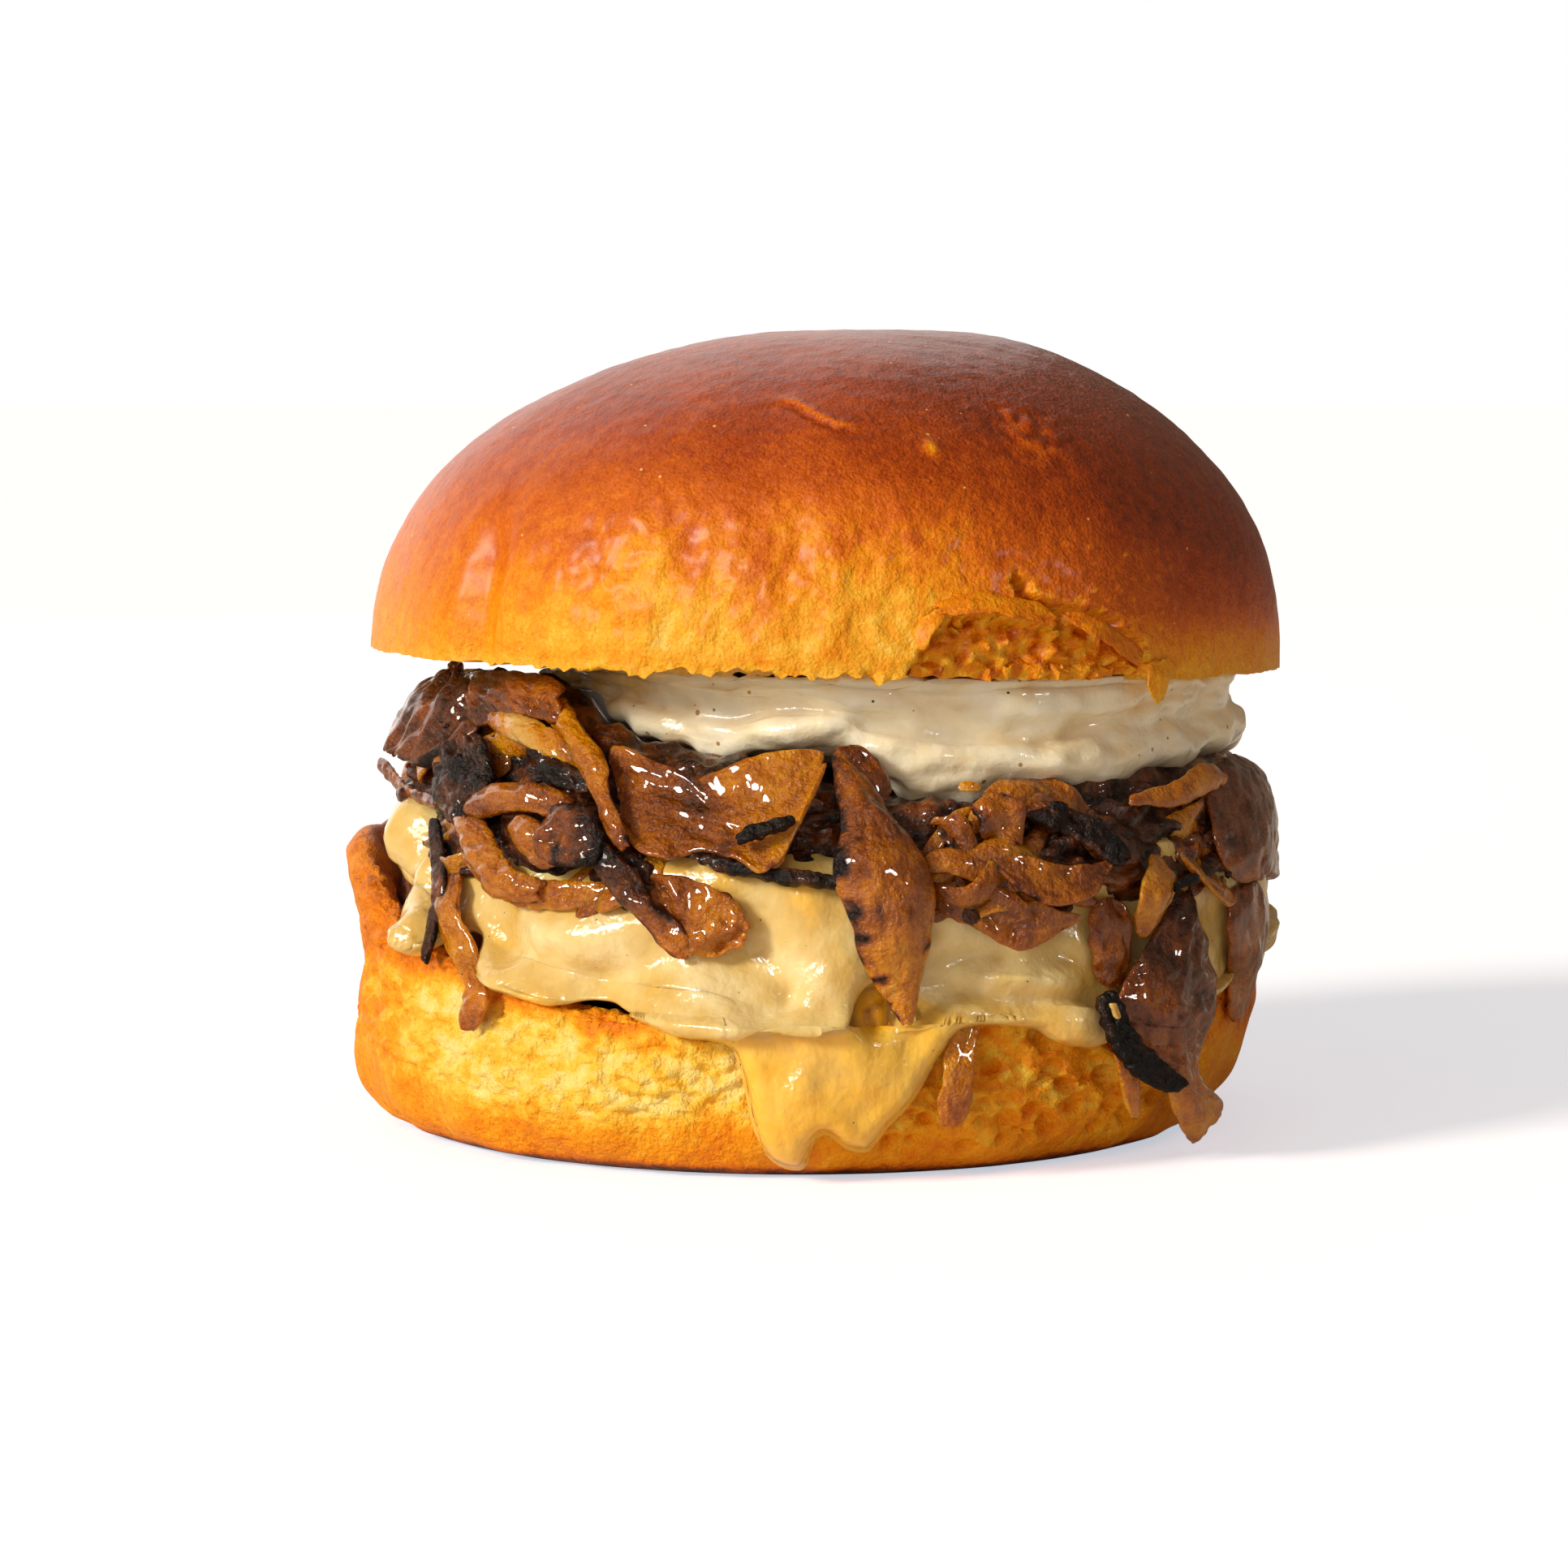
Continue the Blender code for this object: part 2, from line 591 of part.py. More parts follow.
def front_onions():
    made = []
    for name, thickness, cup, widths, places in FRONT_ONIONS:
        spine = [on_skin(x * MM, z * MM, stand * MM) for x, z, stand in places]
        stations = 2 * len(places) - 1
        made.append(shred(name, spine, [w * MM for w in widths], thickness * MM, cup, 0, stations, 0.55))
    return made


def round_onions():
    """Shreds at even steps round the sides and the back of the heap, each turned and lifted by a rule."""
    made = []
    count = 15
    for i in range(count):
        start = -12 + 232 * i / (count - 1)
        low, high = onion_hem(start), onion_crest(start)
        level = blend(low, high - 2.5 * MM, (i * 0.618) % 1)
        sweep = 9 + 7 * ((i * 0.37) % 1)
        fall = (7 * ((i * 0.73) % 1) - 3.5) * MM
        spine = []
        for share in (-1.0, 0.0, 1.0):
            height = level + fall * share - 1.5 * MM * share**2
            stand = 1.0 + 1.4 * onion_swell(start) - 0.8 * share**2
            radius = skin_radius(start + sweep * share, height) + stand * MM
            spine.append(Vector(polar((0, 0), start + sweep * share, radius, height)))
        width = (3.6 + 3.0 * ((i * 0.51) % 1)) * MM
        made.append(shred(f"round_{i}", spine, [width * 0.7, width, width * 0.6], 1.8 * MM, 0.25, 25, 5))
    return made


# Joining and cutting


def applied(obj):
    """Replaces the object's mesh by its evaluated one, and drops its modifiers."""
    bpy.context.view_layer.update()
    graph = bpy.context.evaluated_depsgraph_get()
    mesh = bpy.data.meshes.new_from_object(obj.evaluated_get(graph))
    obj.modifiers.clear()
    obj.data = mesh
    return obj


def guide(obj, by=0.0):
    """A hidden copy of the object, larger by this much all over, for cutting its neighbours clear of it."""
    copy = obj.copy()
    copy.data = obj.data.copy()
    copy.name = obj.name + "_guide"
    copy.hide_render = True
    copy.display_type = "WIRE"
    bpy.context.scene.collection.objects.link(copy)
    if by:
        swell = copy.modifiers.new("grow", "DISPLACE")
        swell.direction = "NORMAL"
        swell.mid_level = 0.0
        swell.strength = by
        applied(copy)
    return copy


def cut_clear(obj, shapes, solver="EXACT"):
    """Cuts the shapes out of the object with a gap round them, and keeps its largest body."""
    for shape in shapes:
        cutter = guide(shape, GAP)
        cut = obj.modifiers.new("clear of " + shape.name, "BOOLEAN")
        cut.operation = "DIFFERENCE"
        cut.solver = solver
        cut.object = cutter
        applied(obj)
        bpy.data.objects.remove(cutter)
    keep_largest(obj)
    return obj


def keep_largest(obj):
    """Drops the loose scraps that a cut leaves beside the main body."""
    made = bmesh.new()
    made.from_mesh(obj.data)
    waiting, bodies = set(made.faces), []
    while waiting:
        stack = [waiting.pop()]
        body = list(stack)
        while stack:
            sound = [edge for edge in stack.pop().edges if len(edge.link_faces) == 2]
            beside = {face for edge in sound for face in edge.link_faces} & waiting
            waiting -= beside
            stack.extend(beside)
            body.extend(beside)
        bodies.append(body)
    bodies.sort(key=len)
    scraps = [face for body in bodies[:-1] for face in body]
    bmesh.ops.delete(made, geom=scraps, context="FACES")
    made.to_mesh(obj.data)
    made.free()
    obj.data.shade_smooth()


def joined(obj, others, solver="EXACT"):
    """Fuses the others into the object by one Boolean union on their collection, then removes them."""
    collection = bpy.data.collections.new(obj.name + "_pieces")
    bpy.context.scene.collection.children.link(collection)
    for other in others:
        bpy.context.scene.collection.objects.unlink(other)
        collection.objects.link(other)
    union = obj.modifiers.new("fuse", "BOOLEAN")
    union.operation = "UNION"
    union.operand_type = "COLLECTION"
    union.solver = solver
    union.collection = collection
    applied(obj)
    for other in others:
        bpy.data.objects.remove(other)
    bpy.data.collections.remove(collection)
    return obj


# The nodes, from the table up. Each is made with a guide, its own uncut shape, which cuts its neighbours.


def make_layer(name, rings, colour, roughness, below=()):
    layer = mesh_object(name, skin_rings(rings), finish_material(name, colour, roughness))
    shape = guide(layer)
    if below:
        cut_clear(layer, below)
    return layer, shape


def make_crown():
    crust = finish_material("crown_crust", (0.50, 0.17, 0.03), 0.3)
    crown = mesh_object("bun_crown", skin_rings(crown_rings()), crust)
    place = Matrix.Translation((0, 0, CROWN_UNDERSIDE)) @ Matrix.Rotation(math.radians(CROWN_LEAN), 4, "Y")
    crown.data.transform(place)
    shape = guide(crown)
    flap = crown_flap()
    flap.data.transform(place)
    joined(crown, [flap])
    return crown, shape


def make_low_shred(shapes):
    """The one piece of onion that hangs out below the cheese, on the front of the heel."""
    places = ((15.3, 18.4, -0.6), (14.8, 15.0, 0.6), (14.2, 11.0, 1.0), (13.8, 6.8, 1.1))
    spine = []
    for x, height, stand in places:
        angle = math.degrees(math.atan2(-55, x))
        radius = heel_radius(angle, height * MM) + (stand + 0.8) * MM
        y = -math.sqrt(radius**2 - (x * MM - HEEL_CENTRE[0]) ** 2)
        spine.append(Vector((x * MM, y, height * MM)))
    low = shred("onion_low_shred", spine, [3.4 * MM, 3.8 * MM, 3.8 * MM, 3.4 * MM], 1.4 * MM, 0.1, 0, 8)
    low.data.materials.append(finish_material("low_shred", (0.45, 0.17, 0.03), 0.35))
    shape = guide(low)
    return cut_clear(low, shapes), shape


def make_onions(shapes):
    fried = finish_material("fried_onion", (0.30, 0.10, 0.02), 0.35)
    onions = mesh_object("onions", skin_rings(onion_core_rings()), fried)
    joined(onions, front_onions() + round_onions(), "MANIFOLD")
    return cut_clear(onions, shapes, "MANIFOLD")


def centre_on_origin(nodes):
    """Moves every node so that the middle of the burger's base lies at the origin."""
    corners = [vert.co for node in nodes for vert in node.data.vertices]
    low = [min(corner[k] for corner in corners) for k in range(3)]
    high = [max(corner[k] for corner in corners) for k in range(3)]
    shift = Vector((-(low[0] + high[0]) / 2, -(low[1] + high[1]) / 2, -low[2]))
    burger = bpy.data.objects.new("burger", None)
    bpy.context.scene.collection.objects.link(burger)
    burger.location = shift
    for node in nodes:
        node.parent = burger
        node.data.set_sharp_from_angle(angle=math.radians(50))


def main():
    clear_scene()
    heel, heel_shape = make_layer("bun_heel", heel_rings(), (0.86, 0.52, 0.10), 0.5)
    patty, patty_shape = make_layer("patty", patty_rings(), (0.13, 0.045, 0.02), 0.55)
    below = [heel_shape, patty_shape]
    cheese, cheese_shape = make_layer("cheese", cheese_rings(), (0.80, 0.66, 0.36), 0.25, below)
    crown, crown_shape = make_crown()
    mayo, mayo_shape = make_layer("truffle_mayo", mayo_rings(), (0.88, 0.80, 0.66), 0.3, [crown_shape])
    low_shred, low_shape = make_low_shred([heel_shape, cheese_shape])
    shapes = [heel_shape, cheese_shape, crown_shape, mayo_shape, low_shape]
    onions = make_onions(shapes)
    for shape in [patty_shape, *shapes]:
        bpy.data.objects.remove(shape)
    centre_on_origin([heel, patty, cheese, crown, mayo, low_shred, onions])


if __name__ == "__main__":
    main()
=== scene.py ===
"""The looks of a truffle burger, put on the plain solids of its frame, with a floor, lights and a camera.

Run it with: blender --background --python scene.py

Lengths are metres, written as millimetres times MM. The shapes are worked out round the crown's own axis,
with +Z up and -Y towards the viewer, and each finished mesh is then moved to BURGER_PLACE, where the solids
stand.
Angles are degrees round +Z from +X, so the front is at -90.
"""

import math
import random

import bpy
from mathutils import Matrix, Vector, noise


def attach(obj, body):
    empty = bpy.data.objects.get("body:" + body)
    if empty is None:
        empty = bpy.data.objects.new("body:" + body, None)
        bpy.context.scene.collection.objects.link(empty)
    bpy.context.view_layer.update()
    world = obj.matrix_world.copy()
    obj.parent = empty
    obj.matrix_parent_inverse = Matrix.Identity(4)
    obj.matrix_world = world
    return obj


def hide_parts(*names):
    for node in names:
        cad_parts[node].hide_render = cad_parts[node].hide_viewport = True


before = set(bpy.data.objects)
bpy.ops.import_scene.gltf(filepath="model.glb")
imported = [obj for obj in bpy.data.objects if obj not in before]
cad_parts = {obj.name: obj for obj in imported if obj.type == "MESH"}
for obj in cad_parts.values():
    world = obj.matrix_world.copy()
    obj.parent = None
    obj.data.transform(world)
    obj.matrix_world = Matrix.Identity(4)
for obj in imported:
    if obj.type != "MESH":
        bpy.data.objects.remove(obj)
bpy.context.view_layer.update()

bl_info = {
    "name": "Truffle burger looks",
    "version": (1, 0, 0),
    "blender": (4, 5, 0),
    "location": "3D View > Sidebar > Burger",
    "description": "Makes the bread, cheese, onions and mayonnaise of a truffle burger, and its stage",
    "category": "Object",
}

MM = 0.001
BURGER_PLACE = Vector((1.036 * MM, 0.615 * MM, 0.0))
FRONT = -90.0
# How much closer together the columns of a turned skin stand at the front than at the back, from 0 to 1.
FRONT_CROWDING = 0.45

# The sizes of the solids, which the pieces here keep.
CROWN_RADIUS = 55.0 * MM
CROWN_HEIGHT = 39.0 * MM
CROWN_UNDERSIDE = 56.0 * MM
CROWN_LEAN = 1.25
HEEL_CENTRE = (-3.0 * MM, 0.0)
HEEL_RADIUS = 54.8 * MM
HEEL_FOOT_RADIUS = 46.0 * MM
HEEL_ROUNDING = 11.0 * MM
HEEL_RIM = 18.5 * MM
HEEL_DISH = 17.0 * MM
PATTY_RADIUS = 49.5 * MM
PATTY_TOP = 35.0 * MM
CHEESE_TOP = 38.6 * MM
CHEESE_WALL = 3.0 * MM
CHEESE_SHOULDER = 30.5 * MM
MAYO_CENTRE = (5.0 * MM, -1.0 * MM)
MAYO_RADIUS = 43.5 * MM
MAYO_UNDERSIDE = 44.0 * MM


# Numbers and points


def off(angle, centre):
    """The signed angle in degrees from centre to angle."""
    return (angle - centre + 180) % 360 - 180


def hump(angle, centre, half_width, flatness=2):
    """1 at the centre angle, falling to almost 0 past the half width. A high flatness gives it a flat top."""
    return math.exp(-abs(off(angle, centre) / half_width) ** flatness)


def bell(value, centre, half_width):
    return math.exp(-(((value - centre) / half_width) ** 2))


def uneven(angle, height, scale, seed):
    """Smooth unevenness between about -1 and 1 over a wall at this angle and height."""
    turn = math.radians(angle)
    at = (math.cos(turn) * scale, math.sin(turn) * scale, height / (10 * MM) * scale * 0.2 + seed)
    return 1.6 * noise.noise(Vector(at))


def lumps(point, size, seed, squash=1.0):
    """Smooth unevenness between about -1 and 1 in space, with lumps of this size, squash times as high."""
    at = (point.x / size + seed, point.y / size - seed, point.z / (size * squash))
    return 1.6 * noise.noise(Vector(at))


def polar(centre, angle, radius, height):
    turn = math.radians(angle)
    return Vector((centre[0] + radius * math.cos(turn), centre[1] + radius * math.sin(turn), height))


def turn_of(point, centre=(0.0, 0.0)):
    return math.degrees(math.atan2(point.y - centre[1], point.x - centre[0]))


def blend(low, high, share):
    return low + (high - low) * share


def clamp(value, low=0.0, high=1.0):
    return low if value < low else high if value > high else value


def smooth_step(low, high, value):
    share = clamp((value - low) / (high - low))
    return share * share * (3 - 2 * share)


def rounder(first, second, softness=1.2 * MM):
    """The larger of two radii, with the corner between them eased."""
    most = max(first, second)
    return most + softness * math.log1p(math.exp(-abs(first - second) / softness)) * 0.6


def on_curve(a, b, c, d, t):
    """The point at t, from 0 to 1, between b and c on a smooth curve through all four."""
    return 0.5 * (2 * b + (c - a) * t + (2 * a - 5 * b + 4 * c - d) * t * t + (3 * b - a - 3 * c + d) * t**3)


def curve_points(points, counts):
    """Points on a smooth curve through the given ones, with this count of steps in each stretch."""
    ends = [points[0] * 2 - points[1], *points, points[-1] * 2 - points[-2]]
    made = [on_curve(*ends[k : k + 4], i / count) for k, count in enumerate(counts) for i in range(count)]
    return [*made, points[-1]]


def stretch_at(values, share):
    """The stretch between two values that a share from 0 to 1 falls in, and how far along it that is."""
    at = clamp(share) * (len(values) - 1)
    k = min(int(at), len(values) - 2)
    return k, at - k


def value_along(values, share):
    k, t = stretch_at(values, share)
    return blend(values[k], values[k + 1], t)


def curve_at(points, share):
    """The point at this share, from 0 to 1, of a smooth curve through the given ones."""
    k, t = stretch_at(points, share)
    b, c = points[k], points[k + 1]
    a = points[k - 1] if k > 0 else b * 2 - c
    d = points[k + 2] if k + 2 < len(points) else c * 2 - b
    return on_curve(a, b, c, d, t)


# How many heights an edge keeps for each degree and all the way round, and the millimetres to a degree there.
EDGE_STEPS = 4
EDGE_COUNT = 360 * EDGE_STEPS + 1
EDGE_DEGREE = 0.96


def edge_round(edge):
    """Rounded heights of an edge all the way round. It is given as points of (angle, height in mm)."""
    points = (*edge, (edge[0][0] + 360, edge[0][1]))
    heights = []
    k = 0
    for i in range(EDGE_COUNT):
        turn = edge[0][0] + i / EDGE_STEPS
        while k < len(points) - 2 and turn > points[k + 1][0]:
            k += 1
        (low_angle, low), (high_angle, high) = points[k], points[k + 1]
        share = clamp((turn - low_angle) / (high_angle - low_angle))
        heights.append(blend(low, high, 0.4 * share + 0.6 * smooth_step(0.0, 1.0, share)) * MM)
    for _ in range(3):
        near = [[heights[(i + aside) % EDGE_COUNT] for aside in range(-2, 3)] for i in range(EDGE_COUNT)]
        heights = [sum(five) / 5 for five in near]
    return edge[0][0], heights


def edge_height(edge, angle):
    """Height of an edge at this angle, from what edge_round gave."""
    start, heights = edge
    at = (angle - start) % 360 * EDGE_STEPS
    i = int(at)
    return heights[i] + (heights[i + 1] - heights[i]) * (at - i)


def edge_above(edge, angle, height):
    """How far a place lies above a lower edge, as its distance from the nearest part of the edge."""
    nearest = height - edge_height(edge, angle)
    for i in range(1, 12):
        aside = i / EDGE_STEPS
        reach = aside * EDGE_DEGREE * MM
        if reach >= nearest:
            break
        for way in (-aside, aside):
            nearest = min(nearest, math.hypot(reach, max(height - edge_height(edge, angle + way), 0.0)))
    return max(nearest, 0.0)


def inside_depth(outline, x, y):
    """How far inside a closed outline a point lies, or minus how far outside."""
    inside = False
    nearest = 1.0
    for (ax, ay), (bx, by) in zip(outline, (*outline[1:], outline[0])):
        if (ay > y) != (by > y) and x < (bx - ax) * (y - ay) / (by - ay) + ax:
            inside = not inside
        length = (bx - ax) ** 2 + (by - ay) ** 2
        share = clamp(((x - ax) * (bx - ax) + (y - ay) * (by - ay)) / length)
        nearest = min(nearest, math.hypot(x - ax - share * (bx - ax), y - ay - share * (by - ay)))
    return nearest if inside else -nearest


# Meshes


def start_alone():
    bpy.ops.object.select_all(action="DESELECT")


def named(obj, name):
    obj.name = name
    obj.data.name = name
    return obj


def joined(name, pieces):
    start_alone()
    for obj in pieces:
        obj.select_set(True)
    bpy.context.view_layer.objects.active = pieces[0]
    if len(pieces) > 1:
        bpy.ops.object.join()
    return named(bpy.context.object, name)


def turned(name, segments, column):
    """A closed skin round the upright axis: a grid rolled up, its rows laid on the columns of each angle."""
    columns = []
    for step in range(segments):
        even = math.tau * step / segments
        columns.append(column(math.degrees(even - FRONT_CROWDING * math.sin(even - math.radians(FRONT)))))
    rings = len(columns[0]) - 1
    start_alone()
    bpy.ops.mesh.primitive_grid_add(x_subdivisions=segments, y_subdivisions=rings, size=2.0)
    obj = named(bpy.context.object, name)
    for vert in obj.data.vertices:
        x, y, _ = vert.co
        vert.co = columns[round((x + 1) / 2 * segments) % segments][round((y + 1) / 2 * rings)]
    bpy.ops.object.mode_set(mode="EDIT")
    bpy.ops.mesh.select_all(action="SELECT")
    bpy.ops.mesh.remove_doubles(threshold=1e-6)
    bpy.ops.mesh.normals_make_consistent(inside=False)
    bpy.ops.object.mode_set(mode="OBJECT")
    return obj


def relief(obj, depth):
    """Moves each point of a mesh along its normal by depth(point)."""
    moved = [vert.co + vert.normal * depth(vert.co) for vert in obj.data.vertices]
    for vert, place in zip(obj.data.vertices, moved):
        vert.co = place
    obj.data.update()


def keep_tones(obj, tones):
    """Keeps a number on each point of a mesh, from 0 to 1, which its finish turns into a colour."""
    layer = obj.data.attributes.new("tone", "FLOAT", "POINT")
    layer.data.foreach_set("value", tones)


def paint(obj, tone):
    """Keeps tone(point) as the tone of each point."""
    keep_tones(obj, [tone(vert.co) for vert in obj.data.vertices])


def shade(obj, degrees):
    start_alone()
    obj.select_set(True)
    bpy.context.view_layer.objects.active = obj
    bpy.ops.object.shade_smooth_by_angle(angle=math.radians(degrees))


def skin(name, segments, column, depth, tone, degrees=80):
    """A turned skin with its relief and its tones, smooth where its faces meet at less than these degrees."""
    obj = turned(name, segments, column)
    relief(obj, depth)
    paint(obj, tone)
    shade(obj, degrees)
    return obj


def finish_piece(obj, material, nodes):
    """Moves a finished mesh to the burger's place, gives it its material, hangs it under the root body and
    hides the solids that it replaces.
    """
    obj.data.transform(Matrix.Translation(BURGER_PLACE))
    obj.data.materials.clear()
    obj.data.materials.append(material)
    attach(obj, "root")
    if nodes:
        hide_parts(*nodes)
    return obj


# Finishes


def new_group(name, inputs, output):
    """A shader node group with float inputs, as (name, default) pairs, and one output."""
    group = bpy.data.node_groups.new(name, "ShaderNodeTree")
    for label, default in inputs:
        socket = group.interface.new_socket(label, in_out="INPUT", socket_type="NodeSocketFloat")
        socket.default_value = default
    group.interface.new_socket(output, in_out="OUTPUT", socket_type="NodeSocketFloat")
    return group, group.nodes.new("NodeGroupInput"), group.nodes.new("NodeGroupOutput")


def add_math(tree, operation, first, second):
    """A maths node. Each operand is a number or the socket that feeds it."""
    made = tree.nodes.new("ShaderNodeMath")
    made.operation = operation
    for socket, operand in zip(made.inputs, (first, second)):
        if isinstance(operand, bpy.types.NodeSocket):
            tree.links.new(operand, socket)
        else:
            socket.default_value = operand
    return made.outputs[0]


def grain_coordinates(tree, stretch):
    """Object coordinates with their height divided by the stretch, which draws a pattern out up and down."""
    coordinates = tree.nodes.new("ShaderNodeTexCoord")
    split = tree.nodes.new("ShaderNodeSeparateXYZ")
    join = tree.nodes.new("ShaderNodeCombineXYZ")
    tree.links.new(coordinates.outputs["Object"], split.inputs[0])
    tree.links.new(split.outputs["X"], join.inputs["X"])
    tree.links.new(split.outputs["Y"], join.inputs["Y"])
    tree.links.new(add_math(tree, "DIVIDE", split.outputs["Z"], stretch), join.inputs["Z"])
    return join.outputs[0]


def mottle_group():
    """Smooth noise between about -1 and 1 whose lumps have a size in millimetres."""
    group, inside, outside = new_group("Mottle", (("Size", 4.0), ("Stretch", 1.0), ("Detail", 3.0)), "Value")
    cloud = group.nodes.new("ShaderNodeTexNoise")
    group.links.new(grain_coordinates(group, inside.outputs["Stretch"]), cloud.inputs["Vector"])
    group.links.new(add_math(group, "DIVIDE", 1000.0, inside.outputs["Size"]), cloud.inputs["Scale"])
    group.links.new(inside.outputs["Detail"], cloud.inputs["Detail"])
    centred = add_math(group, "SUBTRACT", cloud.outputs["Fac"], 0.5)
    group.links.new(add_math(group, "MULTIPLY", centred, 4.0), outside.inputs["Value"])
    return group


def fleck_group():
    """A mask of small round flecks, with a spacing and a radius in millimetres. Share is how many show."""
    sizes = (("Spacing", 3.0), ("Radius", 0.3), ("Share", 0.3))
    group, inside, outside = new_group("Flecks", sizes, "Mask")
    cells = group.nodes.new("ShaderNodeTexVoronoi")
    group.links.new(grain_coordinates(group, 1.0), cells.inputs["Vector"])
    group.links.new(add_math(group, "DIVIDE", 1000.0, inside.outputs["Spacing"]), cells.inputs["Scale"])
    chance = group.nodes.new("ShaderNodeSeparateColor")
    group.links.new(cells.outputs["Color"], chance.inputs[0])
    size = add_math(group, "DIVIDE", inside.outputs["Radius"], inside.outputs["Spacing"])
    size = add_math(group, "MULTIPLY", size, add_math(group, "ADD", chance.outputs["Green"], 0.4))
    near = add_math(group, "LESS_THAN", cells.outputs["Distance"], size)
    shown = add_math(group, "LESS_THAN", chance.outputs["Red"], inside.outputs["Share"])
    group.links.new(add_math(group, "MULTIPLY", near, shown), outside.inputs["Mask"])
    return group


def grouped(tree, name, **values):
    made = tree.nodes.new("ShaderNodeGroup")
    made.node_tree = bpy.data.node_groups[name]
    for label, value in values.items():
        made.inputs[label].default_value = value
    return made.outputs[0]


def mottled(tree, value, layers, strength=1.0):
    """A value with mottling added to it, in layers of (amount, size, stretch)."""
    for amount, size, stretch in layers:
        cloud = grouped(tree, "Mottle", Size=size, Stretch=stretch)
        value = add_math(tree, "ADD", value, add_math(tree, "MULTIPLY", cloud, amount * strength))
    return value


def coloured(tree, tone, stops):
    """The colour that a tone has among the stops, which are (tone, colour)."""
    ramp = tree.nodes.new("ShaderNodeValToRGB")
    for element, (position, colour) in zip(ramp.color_ramp.elements, (stops[0], stops[-1])):
        element.position = position
        element.color = (*colour, 1.0)
    for position, colour in stops[1:-1]:
        ramp.color_ramp.elements.new(position).color = (*colour, 1.0)
    tree.links.new(tone, ramp.inputs[0])
    return ramp.outputs["Color"]


def flecked(tree, colour, flecks):
    """A colour with flecks over it, which are (colour, spacing, radius, share)."""
    for tint, spacing, radius, share in flecks:
        mix = tree.nodes.new("ShaderNodeMix")
        mix.data_type = "RGBA"
        mask = grouped(tree, "Flecks", Spacing=spacing, Radius=radius, Share=share)
        tree.links.new(mask, mix.inputs["Factor"])
        tree.links.new(colour, mix.inputs[6])
        mix.inputs[7].default_value = (*tint, 1.0)
        colour = mix.outputs[2]
    return colour


def spread_over(tree, value, socket, span, reach):
    """Feeds a socket with a value carried from one span of numbers to another."""
    made = tree.nodes.new("ShaderNodeMapRange")
    made.inputs["From Min"].default_value, made.inputs["From Max"].default_value = span
    made.inputs["To Min"].default_value, made.inputs["To Max"].default_value = reach
    tree.links.new(value, made.inputs["Value"])
    tree.links.new(made.outputs[0], socket)


def food_finish(
    name, stops, mottles=(), gloss=(0.35, 0.35), coat=(0.0, 0.1), depth=0.0, glow=(), bumps=(), flecks=(),
    clear=0.0, shine=0.35, dull=(),
):
    """A food material. Its colour comes from the stops, by the tone that the mesh carries.

    mottles are (amount, size, stretch) and shift the tone. gloss is the roughness at tone 0 and at tone 1.
    coat is the weight of the clear coat and its roughness, and shine is how much the food itself mirrors.
    Where dull is given, the coat comes in between those two tones. depth is how much light the food lets in,
    and glow is how far, for red, green and blue in millimetres. bumps are (height, size, stretch) in
    millimetres. flecks are (colour, spacing, radius, share). clear is how much light goes straight through.
    """
    material = bpy.data.materials.new(name)
    material.use_nodes = True
    tree = material.node_tree
    sockets = tree.nodes["Principled BSDF"].inputs
    carried = tree.nodes.new("ShaderNodeAttribute")
    carried.attribute_name = "tone"
    tone = mottled(tree, carried.outputs["Fac"], mottles)
    tree.links.new(flecked(tree, coloured(tree, tone, stops), flecks), sockets["Base Color"])
    if bumps:
        bump = tree.nodes.new("ShaderNodeBump")
        bump.inputs["Distance"].default_value = 1.0
        tree.links.new(mottled(tree, 0.0, bumps, MM / 2), bump.inputs["Height"])
        tree.links.new(bump.outputs[0], sockets["Normal"])
    sockets["Roughness"].default_value = gloss[0]
    if gloss[0] != gloss[1]:
        spread_over(tree, tone, sockets["Roughness"], (0.0, 1.0), gloss)
    sockets["Specular IOR Level"].default_value = shine
    sockets["Transmission Weight"].default_value = clear
    sockets["Coat Weight"].default_value, sockets["Coat Roughness"].default_value = coat
    if dull:
        spread_over(tree, tone, sockets["Coat Weight"], dull, (0.0, coat[0]))
    if depth:
        sockets["Subsurface Weight"].default_value = depth
        sockets["Subsurface Radius"].default_value = glow
        sockets["Subsurface Scale"].default_value = MM
    return material


# The bun's heel


def heel_rim(angle):
    """Height of the heel's upper edge. It is thick at the left and right and thin at the front."""
    left, right = hump(angle, 176, 38), hump(angle, 8, 30)
    return HEEL_RIM + 16.5 * MM * left + 9.5 * MM * right + 0.8 * MM * uneven(angle, 0, 2.2, 3)


def heel_radius(angle, height):
    """Outer radius of the heel's wall: a rounded foot, then a slightly waisted side."""
    right = hump(angle, -8, 48)
    under = 1 - clamp(height / (HEEL_ROUNDING + 8 * MM * right))
    radius = blend(HEEL_FOOT_RADIUS - 2 * MM * right, HEEL_RADIUS, math.sqrt(max(1 - under**2.2, 0)))
    waist = hump(angle, 180, 60) * bell(height, 20 * MM, 6 * MM)
    return radius - 1.6 * MM * waist + 0.5 * MM * uneven(angle, height, 2.0, 11) * (1 - under)


